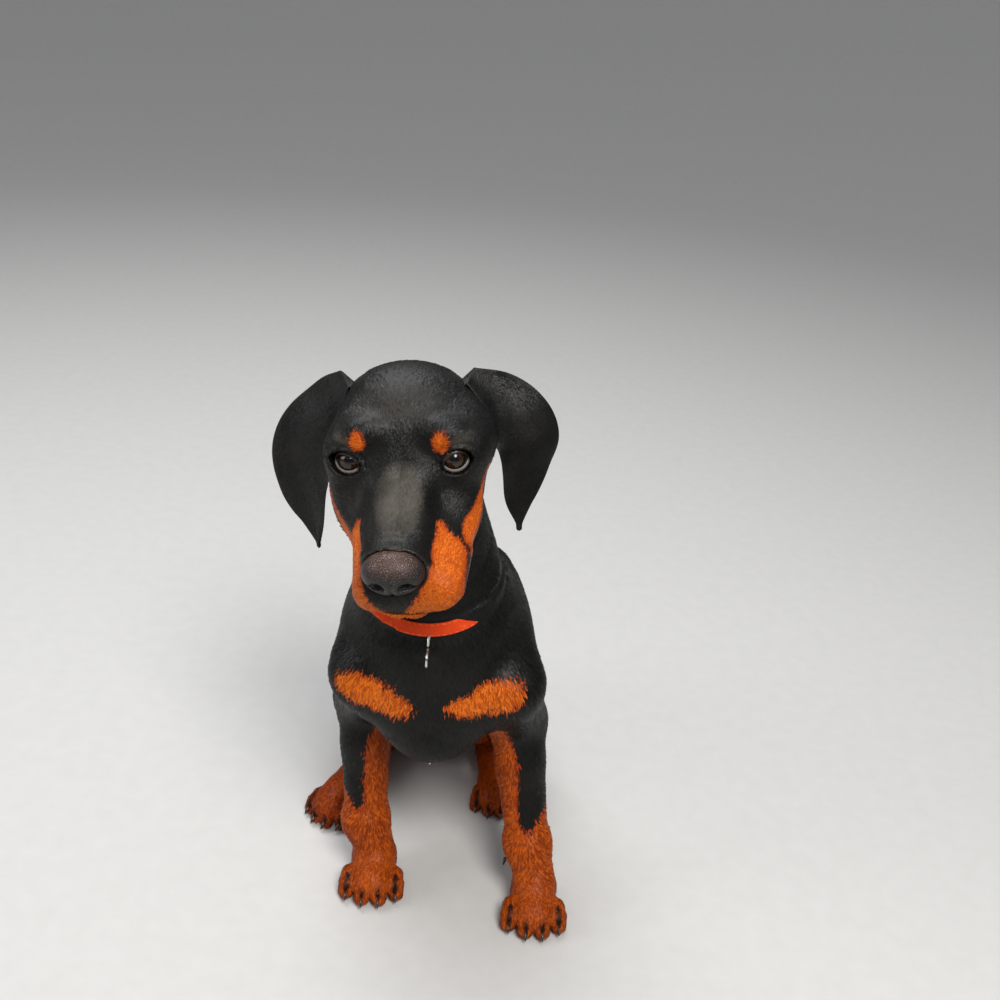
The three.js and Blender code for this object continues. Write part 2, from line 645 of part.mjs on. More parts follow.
// A ring round the neck whose two walls stand square on its surface, a width apart
function sleeve(width) {
  const { point, normal } = COLLAR;
  const side = unit(cross([0, 1, 0], normal));
  const back = cross(normal, side);
  const middle = add(point, back, COLLAR.reach);
  const sample = 3;
  const depth = 12;
  const vertices = [];
  const triangles = [];
  for (let step = 0; step < COLLAR.steps; step++) {
    const angle = 2 * Math.PI * step / COLLAR.steps;
    const ray = add(side.map((value) => value * Math.cos(angle)), back, Math.sin(angle));
    const radiusAt = (height) => {
      let radius = 90;
      for (let round = 0; round < 14; round++) {
        radius -= 0.9 * flesh(add(add(middle, ray, radius), normal, height));
      }
      return radius;
    };
    const [low, high] = [radiusAt(-sample), radiusAt(sample)];
    const tilt = Math.atan2(high - low, 2 * sample);
    const upward = add(normal.map((value) => value * Math.cos(tilt)), ray, Math.sin(tilt));
    const outward = add(ray.map((value) => value * Math.cos(tilt)), normal, -Math.sin(tilt));
    const centre = add(middle, ray, (low + high) / 2);
    for (const [u, o] of [[-1, -1], [-1, 1], [1, 1], [1, -1]]) {
      vertices.push(add(add(centre, upward, u * width / 2), outward, o * depth));
    }
    for (let i = 0; i < 4; i++) {
      const next = (step + 1) % COLLAR.steps;
      const [a, b] = [step * 4 + i, step * 4 + (i + 1) % 4];
      const [c, d] = [next * 4 + (i + 1) % 4, next * 4 + i];
      triangles.push(a, c, b, a, d, c);
    }
  }
  return solidOf({ vertices, triangles });
}
// A band round the neck between two depths, given as margins on its surface
function bandSolid(inner, outer, width) {
  const band = fleshIn(NECK_LOW, NECK_HIGH, CELL.neck, outer).intersect(sleeve(width));
  return largest(band.subtract(fleshIn(NECK_LOW, NECK_HIGH, CELL.neck, inner)));
}
const RING = { side: -13, height: 269.5, radius: 4.2, wire: 0.8 };
const TAG = { radius: 7.5, thickness: 1.4 };
// How far forward a place in front of the neck must be to clear the coat by a margin
function frontAt(x, z, margin) {
  const step = 0.1;
  let y = COLLAR.point[1] + 20;
  while (wholeBody([x, y, z]) < margin) y -= step;
  return y;
}

const material = (color, roughness, metalness = 0) =>
  new THREE.MeshStandardMaterial({ color, roughness, metalness });
const BLACK_COAT = material(0x151312, 0.5);
const RUST_COAT = material(0xb2480f, 0.6);
const NOSE_LEATHER = material(0x1b1412, 0.4);
const EYE_BROWN = material(0x2a1408, 0.08);
const COLLAR_ORANGE = material(0xe6431a, 0.55);
const STEEL = material(0xc9c9c6, 0.25, 1);

const group = new THREE.Group();
group.position.set(ORIGIN_X, ORIGIN_Y, 0);
function place(name, solid, look) {
  const mesh = solid.getMesh();
  const geometry = new THREE.BufferGeometry();
  geometry.setAttribute('position', new THREE.BufferAttribute(new Float32Array(mesh.vertProperties), 3));
  geometry.setIndex(new THREE.BufferAttribute(new Uint32Array(mesh.triVerts), 1));
  const part = new THREE.Mesh(geometry, look);
  part.name = name;
  group.add(part);
}

const neckAndUp = beyond(NECK_CUT.point, NECK_CUT.normal, GAP / 2);
place('head', headSolid(), BLACK_COAT);
place('nose', noseSolid(), NOSE_LEATHER);
const headCutter = fleshIn(HEAD_LOW, HEAD_HIGH, CELL.head, GAP);
for (const sideName of ['left', 'right']) {
  place(`ear_${sideName}`, earSolid(sideName, headCutter), BLACK_COAT);
  place(`eye_${sideName}`, headBall(EYES[sideName], [EYE_RADIUS, EYE_RADIUS, EYE_RADIUS], 12), EYE_BROWN);
}
const collarSeat = bandSolid(COLLAR.inner - 2 * GAP, COLLAR.outer + 6, COLLAR.width + 2 * GAP);
place('neck', largest(fleshIn(NECK_LOW, NECK_HIGH, CELL.neck).intersect(neckAndUp)
  .subtract(beyond(HEAD_CUT.point, HEAD_CUT.normal, -GAP / 2)).subtract(collarSeat)), BLACK_COAT);

let torso = fleshIn([-130, -170, -12], [90, 190, 300], CELL.torso).intersect(floorUp());
torso = torso.subtract(beyond(NECK_CUT.point, NECK_CUT.normal, -GAP / 2));
torso = torso.subtract(beyond(TAIL_CUT.point, TAIL_CUT.normal, -GAP));
Object.values(REGIONS).forEach(([low, high]) => { torso = torso.subtract(box(low, high, GAP)); });
place('torso', largest(torso), BLACK_COAT);
place('tail', largest(fleshIn([-80, 170, -12], [110, 400, 90], CELL.tail)
  .intersect(floorUp()).intersect(beyond(TAIL_CUT.point, TAIL_CUT.normal))), BLACK_COAT);

for (const sideName of ['left', 'right']) {
  place(`foreleg_${sideName}`, limb(`foreleg_${sideName}`, CELL.leg), BLACK_COAT);
  const foreClaws = claws(FORELEGS[sideName], FOREPAW_HALF_WIDTH, 38);
  place(`forepaw_${sideName}`, limb(`forepaw_${sideName}`, CELL.paw, foreClaws), RUST_COAT);
  place(`thigh_${sideName}`, limb(`thigh_${sideName}`, CELL.leg), BLACK_COAT);
  place(`shank_${sideName}`, limb(`shank_${sideName}`, CELL.leg), RUST_COAT);
  const hindClaws = claws(HINDLEGS[sideName], HINDPAW_HALF_WIDTH, 33);
  place(`hindpaw_${sideName}`, limb(`hindpaw_${sideName}`, CELL.paw, hindClaws), RUST_COAT);
}

place('collar', bandSolid(COLLAR.inner, COLLAR.outer, COLLAR.width), COLLAR_ORANGE);
const ringClearance = COLLAR.outer + RING.radius + RING.wire + 0.6;
const ringMiddle = [RING.side, frontAt(RING.side, RING.height, ringClearance), RING.height];
const ring = new THREE.TorusGeometry(RING.radius, RING.wire, 6, 16);
place('collar_ring', solidFrom(ring.rotateY(Math.PI / 2).translate(...ringMiddle)), STEEL);
// The tag hangs from the ring, swung forward just far enough to clear the chest
const tagDrop = RING.radius + RING.wire + TAG.radius + GAP;
let swing = 0;
const tagMiddle = () => add(ringMiddle, [0, -Math.sin(swing), -Math.cos(swing)], tagDrop);
while (wholeBody(tagMiddle()) < TAG.radius + 0.6) swing += radians(1);
const tag = new THREE.CylinderGeometry(TAG.radius, TAG.radius, TAG.thickness, 24);
place('tag', solidFrom(tag.rotateZ(Math.PI / 2).translate(...tagMiddle())), STEEL);

export default group;
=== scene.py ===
# Doberman puppy, seated: skin, short coat, eyes, nose, claws, collar, ring and tag
import math
import bpy
import numpy as np
from mathutils import Matrix


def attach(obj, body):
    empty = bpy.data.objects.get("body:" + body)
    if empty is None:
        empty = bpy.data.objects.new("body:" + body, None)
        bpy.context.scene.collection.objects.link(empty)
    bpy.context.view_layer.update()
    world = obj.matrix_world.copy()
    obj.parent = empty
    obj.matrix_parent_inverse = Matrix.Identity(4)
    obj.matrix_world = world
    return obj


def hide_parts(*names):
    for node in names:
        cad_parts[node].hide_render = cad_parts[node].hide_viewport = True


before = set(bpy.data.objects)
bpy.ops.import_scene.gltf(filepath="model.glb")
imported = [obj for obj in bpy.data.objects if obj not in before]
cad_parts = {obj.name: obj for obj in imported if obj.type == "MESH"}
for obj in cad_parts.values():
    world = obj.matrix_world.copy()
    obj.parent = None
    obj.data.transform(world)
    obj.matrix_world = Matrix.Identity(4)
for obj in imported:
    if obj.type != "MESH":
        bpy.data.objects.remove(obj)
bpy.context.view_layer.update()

# Working frame: millimetres, +Z up, the puppy looks along -Y; SHIFT takes it to the shared frame
SHIFT = np.array([17.0, -58.6, 0.0])
MM = 0.001


def to_metres(points):
    return (np.asarray(points, float) + SHIFT) * MM


# Camera: 26 degrees down, rolled 5 degrees, from just above the puppy's head height
PITCH = 0.4529
ROLL = 0.08676
CAMERA = np.array([30.0, -780.0, 706.0])
LENS = 38.376
fwd = np.array([0, math.cos(PITCH), -math.sin(PITCH)])
level_up = np.array([0, math.sin(PITCH), math.cos(PITCH)])
cam_x = np.array([math.cos(ROLL), 0, 0]) + math.sin(ROLL) * level_up
cam_y = np.array([-math.sin(ROLL), 0, 0]) + math.cos(ROLL) * level_up
camera_data = bpy.data.cameras.new("camera")
camera_data.sensor_width = 36
camera_data.lens = LENS
camera_data.clip_start = 0.05
camera_data.clip_end = 60
camera = bpy.data.objects.new("camera", camera_data)
bpy.context.collection.objects.link(camera)
place = to_metres(CAMERA)
camera.matrix_world = Matrix([[cam_x[i], cam_y[i], -fwd[i], place[i]] for i in range(3)] + [[0, 0, 0, 1]])
bpy.context.scene.camera = camera
bpy.context.scene.view_settings.view_transform = "Standard"

# Body landmarks, as the solids have them
HEAD_MIDDLE = np.array([-39.6, -115.8, 412.9])
HEAD_NOD, HEAD_TURN, HEAD_TILT = (math.radians(v) for v in (23, 2, 5.5))
EYE_RADIUS = 10.0
EYES = {"left": np.array([35.5, 0.5, -5.4]), "right": np.array([-35.5, 0.5, -7.6])}
NOSE = np.array([0, 84, -25.0])
NOSE_SIZE = np.array([21, 15, 15.5])
FORELEGS = {
    "left": dict(blade=(22, -2, 256), shoulder=(47, -84, 208), elbow=(60, -55, 152), wrist=(78, -92, 52),
                 paw=(87, -122, 0), turn=3),
    "right": dict(blade=(-54, -2, 256), shoulder=(-62, -81, 206), elbow=(-68, -48, 152),
                  wrist=(-61, -80, 52), paw=(-51, -102, 0), turn=3),
}
HINDLEGS = {
    "left": dict(thigh=(26, 86, 80), knee=(56, 40, 96), hock=(40, 86, 22), paw=(50, 12, 0), turn=0),
    "right": dict(thigh=(-72, 86, 80), knee=(-82, 34, 96), hock=(-64, 80, 22), paw=(-97, -20, 0), turn=-30),
}
for leg in (*FORELEGS.values(), *HINDLEGS.values()):
    leg.update({joint: np.array(point, float) for joint, point in leg.items() if joint != "turn"})
FOREPAW, HINDPAW = (28, 38), (24, 33)
COAT_DEPTH = 0.9
OUT = {"left": 1, "right": -1}
COLLAR_POINT = np.array([-14, -120, 272.5])
COLLAR_REACH = 64.0
COLLAR_WIDTH, COLLAR_THICK, COLLAR_EASE = 10.0, 2.4, -1.1


def unit(a):
    a = np.asarray(a, float)
    return a / np.linalg.norm(a, axis=-1, keepdims=True)


COLLAR_NORMAL = unit((-0.06, -0.36, 1))
COLLAR_X = unit(np.cross((0, 1, 0), COLLAR_NORMAL))
COLLAR_Y = np.cross(COLLAR_NORMAL, COLLAR_X)
COLLAR_MIDDLE = COLLAR_POINT + COLLAR_Y * COLLAR_REACH
head_forward = np.array([math.sin(HEAD_TURN) * math.cos(HEAD_NOD), -math.cos(HEAD_TURN) * math.cos(HEAD_NOD),
                         -math.sin(HEAD_NOD)])
head_level = np.array([math.cos(HEAD_TURN), math.sin(HEAD_TURN), 0])
head_upright = np.cross(head_forward, head_level)
HEAD_AXES = np.array([
    head_level * math.cos(HEAD_TILT) + head_upright * math.sin(HEAD_TILT),
    head_forward,
    head_upright * math.cos(HEAD_TILT) - head_level * math.sin(HEAD_TILT),
])


def to_head(p):
    return (p - HEAD_MIDDLE) @ HEAD_AXES.T


def from_head(q):
    return np.asarray(q, float) @ HEAD_AXES + HEAD_MIDDLE


# Distance forms in millimetres, negative inside; each keeps a ball that holds it
def length(v):
    return np.sqrt((v * v).sum(-1))


def tapered(a, b, ra, rb):
    a, b = np.asarray(a, float), np.asarray(b, float)
    along = b - a
    size2 = along @ along

    def form(p):
        t = np.clip(((p - a) @ along) / size2, 0, 1)
        return length(p - a - t[:, None] * along) - ra - t * (rb - ra)
    return form, (a + b) / 2, math.sqrt(size2) / 2 + max(ra, rb)


def egg(middle, radii, turn=0):
    middle, radii = np.asarray(middle, float), np.asarray(radii, float)
    c, s = math.cos(math.radians(turn)), math.sin(math.radians(turn))
    spin = np.array([[c, s, 0], [-s, c, 0], [0, 0, 1]])

    def form(p):
        q = (p - middle) @ spin.T
        near = length(q / radii)
        slope = np.maximum(length(q / radii ** 2), 1e-9)
        return near * (near - 1) / slope
    return form, middle, radii.max()


def joined(a, b, blend):
    h = np.maximum(blend - np.abs(a - b), 0)
    return np.minimum(a, b) - h * h / (4 * blend)


def carved(a, b, blend):
    return -joined(-a, -b, blend)


def merge_all(forms, p):
    d = np.full(len(p), 1e3)
    for (form, middle, reach), blend in forms:
        near = length(p - middle) < reach + blend + 14
        if near.any():
            d[near] = joined(d[near], form(p[near]), max(blend, 0.01))
    return d


def paw_frame(leg):
    a = math.radians(leg["turn"])
    return np.array([math.cos(a), math.sin(a), 0]), np.array([math.sin(a), -math.cos(a), 0])


def toes(leg, size):
    """Knuckle, tip and radius of each toe."""
    side, forward = paw_frame(leg)
    half, reach0 = size
    for toe in (-1.5, -0.5, 0.5, 1.5):
        outer = abs(toe) > 1
        reach = (0.62 if outer else 0.8) * reach0
        spread = toe * half * 0.5
        r = half * 0.285
        base = leg["paw"]
        knuckle = base + side * spread * 0.9 + forward * (reach - r * 2.4) + [0, 0, 15.5 if outer else 18]
        tip = base + side * spread + forward * (reach - r) + [0, 0, r - 1]
        yield knuckle, tip, r


def paw_forms(leg, size):
    side, forward = paw_frame(leg)
    base = leg["paw"]
    half = size[0]
    forms = [(tapered(base - forward * 10 + [0, 0, 15], base + forward * 8 + [0, 0, 15],
                      half * 0.7, half * 0.62), 8)]
    for knuckle, tip, r in toes(leg, size):
        middle = knuckle * 0.45 + tip * 0.55 + np.array([0, 0, 2.2]) + forward * 1.0
        forms.append((tapered(knuckle, middle, r * 0.98, r), 5))
        forms.append((tapered(middle, tip, r, r * 0.93), 1.2))
    return forms


def foreleg_forms(leg):
    wrist = leg["wrist"]
    pastern = leg["paw"] + [0, 12, 26]
    elbow, shoulder = leg["elbow"], leg["shoulder"]
    forearm = elbow * 0.7 + wrist * 0.3
    return [
        (tapered(leg["blade"], shoulder, 25, 29), 26),
        (tapered(shoulder, elbow, 29, 25), 14),
        (tapered(elbow, wrist, 23, 17.5), 10),
        (egg(forearm + [0, -4, 0], (19, 20, 30)), 8),
        (egg(wrist + [0, -1, 2], (19.5, 19, 20)), 8),
        (egg(wrist + [0, 16, -8], (8, 7, 9)), 6),
        (tapered(wrist, pastern, 18, 18), 8),
    ] + paw_forms(leg, FOREPAW)


def hindleg_forms(leg):
    hock, paw = leg["hock"], leg["paw"]
    return [
        (egg(leg["thigh"], (32, 64, 52)), 20),
        (egg(leg["knee"] + [0, 2, -4], (27, 26, 30)), 22),
        (tapered(leg["knee"], hock, 23, 14), 12),
        (tapered(hock, hock + [0, 10, 4], 13, 11), 6),
        (tapered([hock[0], hock[1], 14], [paw[0], paw[1], 17], 14.5, 16), 8),
    ] + paw_forms(leg, HINDPAW)


TRUNK = [
    (egg((-11, -52, 222), (67, 72, 72)), 0),
    (egg((-16, 5, 186), (70, 76, 76)), 30),
    (tapered((-9, -82, 177), (-12, 10, 163), 44, 43), 30),
    (egg((-22, 62, 138), (58, 62, 60)), 30),
    (egg((-29, 118, 85), (60, 56, 60)), 30),
    (tapered((-18, 15, 262), (-22, 82, 212), 26, 26), 30),
    (tapered((-22, 82, 212), (-26, 120, 150), 26, 27), 20),
    (tapered((-26, 120, 150), (-30, 150, 93), 27, 32), 20),
    (tapered((-15, -56, 262), (-40, -52, 385), 60, 44), 30),
    (tapered((1, 132, 38), (-29, 118, 85), 39.5, 40), 16),
    (tapered((-59, 132, 38), (-29, 118, 85), 39.5, 40), 16),
]
TAIL_ROOT = np.array([-31, 166, 56.0])


def tail_line(t):
    along = 205 * t
    swing = math.radians(40) * t ** 1.5
    drop = math.exp(-((along / 34) ** 1.6))
    radius = 15 - 11 * t ** 0.8
    rest = radius - 0.8
    return np.array([TAIL_ROOT[0] + along * math.sin(swing) * 0.75,
                     TAIL_ROOT[1] + along * math.cos(swing) * 0.95,
                     rest + (TAIL_ROOT[2] - rest) * drop]), radius


TAIL = []
for step in range(24):
    (p0, r0), (p1, r1) = tail_line(step / 24), tail_line((step + 1) / 24)
    TAIL.append((tapered(p0, p1, r0, r1), 2 if step else 14))

GROUPS = {
    "trunk": TRUNK,
    "foreleg_left": foreleg_forms(FORELEGS["left"]),
    "foreleg_right": foreleg_forms(FORELEGS["right"]),
    "hindleg_left": hindleg_forms(HINDLEGS["left"]),
    "hindleg_right": hindleg_forms(HINDLEGS["right"]),
    "tail": TAIL,
}
BODY = [pair for group in GROUPS.values() for pair in group]

SKULL = [
    (egg((0, -40, -8), (53, 50, 34)), 0),
    (egg((34, -16, -30), (21, 36, 25)), 16),
    (egg((40, -14, -8), (19.5, 28, 22)), 14),
    (tapered((7, 8, -24), (7, 68, -29), 24, 16.5), 16),
    (tapered((24, 20, -43), (20, 77, -47), 21, 18.5), 10),
    (egg((36, 6, -44), (17, 28, 20)), 14),
    (egg((0, 78, -50), (23, 16, 18)), 8),
    (tapered((9, 12, -60), (5, 78, -64), 17, 13), 8),
    (egg((27, -6, 12), (13, 9, 8)), 12),
    (egg((0, 76, -25), (21, 12, 15)), 4),
]
HEAD_REACH = 130
LIP_LEAN, TEMPLE_LEAN = 8.0, 6.0


def lean_of(q):
    """How far the sides of the face lie to the puppy's left, because the head is turned and tilted."""
    height = np.clip((-22 - q[:, 2]) / 16, 0, 1) * (1 - 0.4 * np.clip((-48 - q[:, 2]) / 14, 0, 1))
    temple = TEMPLE_LEAN * np.exp(-((q[:, 1] + 28) / 24) ** 2 - ((q[:, 2] + 4) / 26) ** 2)
    return LIP_LEAN * np.clip((q[:, 1] - 5) / 45, 0, 1) * height + temple


# Ears: a thin leaf between a front and a back edge that rises from the skull, folds over and hangs
EARS = {
    "left": dict(front=[(39, -56, 12), (51, -44, -1), (59, -32, -16), (64, -18, -32), (68, -4, -59),
                        (78, 2, -77)],
                 back=[(48, -68, 13), (78, -68, -2), (97, -62, -16), (106, -54, -34), (99, -42, -53),
                       (87, -21, -66), (79, 2, -78)]),
    "right": dict(front=[(-39, -54, 12), (-44, -44, 1), (-50, -34, -14), (-57, -20, -40), (-62, -4, -72),
                         (-71, 4, -98)],
                  back=[(-49, -66, 11), (-72, -68, -15), (-92, -62, -40), (-105, -52, -66), (-102, -40, -81),
                        (-86, -18, -91), (-73, 4, -98)]),
}
EAR_THICK = 3.6
EAR_STEPS = 61
EAR_RINGS, EAR_SPOKES = 130, 72
EAR_TIP, EAR_TIP_RINGS = 2.2, 5


def curve(points, t):
    """Smooth line through the points, for t from 0 to 1."""
    p = np.array(points, float)
    p = np.concatenate([[2 * p[0] - p[1]], p, [2 * p[-1] - p[-2]]])
    place = t[:, 0] * (len(points) - 1)
    i = np.minimum(place.astype(int), len(points) - 2)
    u = (place - i)[:, None]
    a, b, c, d = p[i], p[i + 1], p[i + 2], p[i + 3]
    return b + u * ((c - a) / 2 + u * (a - 2.5 * b + 2 * c - d / 2 + u * (1.5 * (b - c) + (d - a) / 2)))


def ear_stations(ear):
    t = np.linspace(0, 1, EAR_STEPS)[:, None]
    front, back = curve(ear["front"], t), curve(ear["back"], t)
    middle = (front + back) / 2
    along = unit(np.gradient(middle, axis=0))
    width = back - front
    lean = np.where(t < 0.9, width, width[int(0.9 * EAR_STEPS)])
    across = unit(lean - (lean * along).sum(1, keepdims=True) * along)
    face = unit(np.cross(along, across))
    half = np.maximum(length(width) / 2, EAR_TIP)
    span = length(np.gradient(middle, axis=0))
    return dict(middle=middle, along=along, across=across, face=face, half=half, span=span)


EAR_LINES = {name: ear_stations(ear) for name, ear in EARS.items()}


def ear_axes(name, place):
    """At places counted in stations: the leaf's middle, its three directions and half its width."""
    line = EAR_LINES[name]
    low = np.minimum(place.astype(int), EAR_STEPS - 2)
    part = (place - low)[:, None]
    axes = [line[key][low] * (1 - part) + line[key][low + 1] * part
            for key in ("middle", "along", "across", "face")]
    return *axes, np.interp(place, np.arange(EAR_STEPS), line["half"])


def ear_frame(name, q):
    """For points in head coordinates: place along the ear, across it and off its sheet, half its width."""
    line = EAR_LINES[name]
    best = np.full(len(q), 1e9)
    index = np.zeros(len(q), int)
    for i in range(EAR_STEPS):
        d = ((q - line["middle"][i]) ** 2).sum(1)
        closer = d < best
        best[closer] = d[closer]
        index[closer] = i
    step = ((q - line["middle"][index]) * line["along"][index]).sum(1)
    place = index + np.clip(step / line["span"][index], -0.75, 0.75)
    place = np.clip(place, 0, EAR_STEPS - 1)
    middle, _, across, face, half = ear_axes(name, place)
    rel = q - middle
    return place / (EAR_STEPS - 1), (rel * across).sum(1), (rel * face).sum(1), half


def near_ear(name, q, inner, reach):
    """Indices of the points beside one ear, followed by what ear_frame says of them."""
    near = np.flatnonzero((q[:, 0] * OUT[name] > inner) & (length(q) < reach))
    return near, *ear_frame(name, q[near])


def tube_quads(rings, spokes, closed=False):
    """Quads between neighbouring rings of points; a closed tube also joins its last ring to its first."""
    ring, spoke = np.divmod(np.arange((rings if closed else rings - 1) * spokes), spokes)
    here, there = ring * spokes, (ring + 1) % rings * spokes
    onward = (spoke + 1) % spokes
    return np.stack([here + spoke, here + onward, there + onward, there + spoke], 1)


def ear_leaf(name):
    """The ear's own closed surface in head coordinates: rings of points from inside the skull to the tip."""
    out = OUT[name]
    first_tip = EAR_RINGS - EAR_TIP_RINGS
    places = np.concatenate([[0.0], np.linspace(0, EAR_STEPS - 1, first_tip - 1),
                             np.full(EAR_TIP_RINGS, EAR_STEPS - 1.0)])
    angle = 2 * math.pi * np.arange(EAR_SPOKES) / EAR_SPOKES
    u, v = np.cos(angle), np.sin(angle)
    w = np.sign(u) * np.abs(u) ** 0.8
    rings = []
    for n, (middle, along, across, face, half) in enumerate(zip(*ear_axes(name, places))):
        t = places[n] / (EAR_STEPS - 1)
        if n == 0:
            middle = middle + np.array([-16 * out, 6, -14])
        shrink = 1.0
        if n >= first_tip:
            s = (n - first_tip + 1) / EAR_TIP_RINGS
            shrink = math.sqrt(max(1 - s * s, 0.0004))
            middle = middle + along * 2.4 * s
        cup = (0.30 - 0.18 * t) * half * (w * w - 0.4) * -out
        wave = 0.9 * np.sin(w * half * 0.16 + t * 5) * t + 0.5 * np.sin(9 * t + 2.5 * w) * np.abs(w)
        thick = EAR_THICK / 2 * (1.15 - 0.35 * t) * np.sign(v) * np.abs(v) ** 0.8
        off = cup + wave + thick * shrink
        rings.append(middle + np.outer(w * half * shrink, across) + np.outer(off, face))
    points = np.array(rings)
    normals = np.cross(np.gradient(points, axis=0), np.roll(points, -1, 1) - np.roll(points, 1, 1))
    outward = points - points.mean(1, keepdims=True)
    if (normals[20:60] * outward[20:60]).sum() < 0:
        normals = -normals
    normals = normals.reshape(-1, 3)
    flat = points.reshape(-1, 3)
    quads = tube_quads(EAR_RINGS, EAR_SPOKES)
    a, b, _, d = quads[len(quads) // 2]
    if (np.cross(flat[b] - flat[a], flat[d] - flat[a]) * normals[a]).sum() < 0:
        quads = quads[:, ::-1]
    return flat, unit(normals + 1e-9), quads


# Head surface details, in head coordinates
MOUTH_LINE = [(100, -60), (84, -62), (66, -60), (48, -56), (34, -51), (24, -46)]


def line_distance(px, py, points):
    best = np.full(len(px), 1e9)
    for (ax, ay), (bx, by) in zip(points[:-1], points[1:]):
        dx, dy = bx - ax, by - ay
        t = np.clip(((px - ax) * dx + (py - ay) * dy) / (dx * dx + dy * dy), 0, 1)
        best = np.minimum(best, np.hypot(px - ax - t * dx, py - ay - t * dy))
    return best


def groove(p, a, b, radius):
    a, b = np.asarray(a, float), np.asarray(b, float)
    along = b - a
    t = np.clip(((p - a) @ along) / (along @ along), 0, 1)
    return np.exp(-(length(p - a - t[:, None] * along) / radius) ** 2)


def lid_axes(name):
    """Directions of the opening between the lids: across (outward), up and out of the head."""
    gaze = unit((OUT[name] * 0.30, 0.84, 0.45))
    across = unit(np.cross(gaze, (0, 0, 1)) * OUT[name])
    return across, unit(np.cross(across * OUT[name], gaze)), gaze


def eye_local(name, q):
    """Coordinates round the eyeball, along the directions of its lids."""
    rel = q - EYES[name]
    across, up, gaze = lid_axes(name)
    return rel @ across, rel @ up, rel @ gaze


LID_HALF, LID_UPPER, LID_LOWER, LID_SLANT = 8.2, 5.6, 5.0, 0.06


def lid_opening(a, b):
    """Almond-shaped opening between the lids: negative inside."""
    b = b - LID_SLANT * a
    high = np.where(b > 0, LID_UPPER, LID_LOWER)
    circle = (LID_HALF ** 2 + high ** 2) / (2 * high)
    return np.hypot(a, np.abs(b) + circle - high) - circle


def head_field(q):
    mirrored = q.copy()
    mirrored[:, 0] = np.abs(q[:, 0] - lean_of(q))
    d = merge_all(SKULL, mirrored)
    for name in EYES:
        near = length(q - EYES[name]) < 34
        if not near.any():
            continue
        e = q[near]
        a, b, g = eye_local(name, e)
        r = length(e - EYES[name])
        dd = joined(d[near], r - EYE_RADIUS - 1.6, 6)
        opening = lid_opening(a, b)
        dd += 1.0 * np.exp(-((opening - 7.0) / 1.5) ** 2) * (g > 0) * (b > -1)
        dd = np.maximum(dd, -np.maximum(opening - 2.6, -g))
        dd = np.maximum(dd, -(r - EYE_RADIUS - 0.2))
        d[near] = dd
    d = joined(d, egg((-16, 72, -57), (15, 18, 13))[0](q), 7)
    lips = line_distance(q[:, 1], q[:, 2], MOUTH_LINE)
    near = lips < 6
    cut = np.maximum(lips[near] - 0.9, -(d[near] + 4.0))
    d[near] = carved(d[near], -cut, 1.4)
    seat = length((q - NOSE) / (NOSE_SIZE + 0.2)) - 1
    near = seat < 1
    d[near] = carved(d[near], -seat[near] * NOSE_SIZE.min(), 0.5)
    for out in (-1, 1):
        d += 1.5 * groove(q, (out * 30, 22, -8), (out * 21, 38, -18), 7)
    return d


def detail(p, d):
    """Shallow folds and hollows of the body."""
    for side, leg in FORELEGS.items():
        out = OUT[side]
        elbow, wrist = leg["elbow"], leg["wrist"]
        inner = elbow + [-out * 18, -18, 8]
        d = d + 2.2 * groove(p, inner, inner + [out * 14, -12, 14], 5)
        d = d + 1.0 * groove(p, wrist + [-out * 16, -10, 12], wrist + [out * 16, -10, 14], 4)
    d = d + 2.6 * groove(p, (-12, -126, 250), (-11, -128, 190), 8)
    return d - 2.4 * fold_over_collar(p)


def fold_over_collar(p):
    """Loose skin of the neck that hangs over the collar on the puppy's left side."""
    rel = p - COLLAR_MIDDLE
    height = rel @ COLLAR_NORMAL
    angle = np.degrees(np.arctan2(rel @ COLLAR_Y, rel @ COLLAR_X))
    start = np.clip((angle + 62) / 30, 0, 1) * np.clip((10 - angle) / 30, 0, 1)
    near = np.clip((110 - length(rel)) / 20, 0, 1)
    return np.exp(-((height - 8) / 10.0) ** 2) * start * near


def skin_field(p):
    d = merge_all(BODY, p)
    d = detail(p, d)
    near = length(p - HEAD_MIDDLE) < HEAD_REACH + 40
    if near.any():
        q = to_head(p[near])
        head = head_field(q)
        d[near] = joined(d[near], head, 14)
    d = d + COAT_DEPTH * (length(p - from_head(NOSE)) > 26)
    return np.maximum(d, -p[:, 2] + 0.05)


BLOCK = 4
FAR_FROM_SKIN = 15.0


def sample(field, xs, ys, zs):
    """Values of a field on crossed axes: in full near the surface, one for each block elsewhere."""
    shape = (len(xs), len(ys), len(zs))
    middles = [line[np.minimum(np.arange(0, len(line), BLOCK) + BLOCK // 2, len(line) - 1)]
               for line in (xs, ys, zs)]
    grid = np.stack(np.meshgrid(*middles, indexing="ij"), -1).reshape(-1, 3)
    coarse = blocks(field)(grid).reshape([len(m) for m in middles]).astype(np.float32)
    d = coarse
    for axis in range(3):
        d = np.repeat(d, BLOCK, axis=axis)
    d = np.ascontiguousarray(d[:shape[0], :shape[1], :shape[2]])
    near = np.argwhere(np.abs(d) < FAR_FROM_SKIN)
    points = np.stack([line[near[:, i]] for i, line in enumerate((xs, ys, zs))], 1)
    d[tuple(near.T)] = blocks(field)(points)
    return d


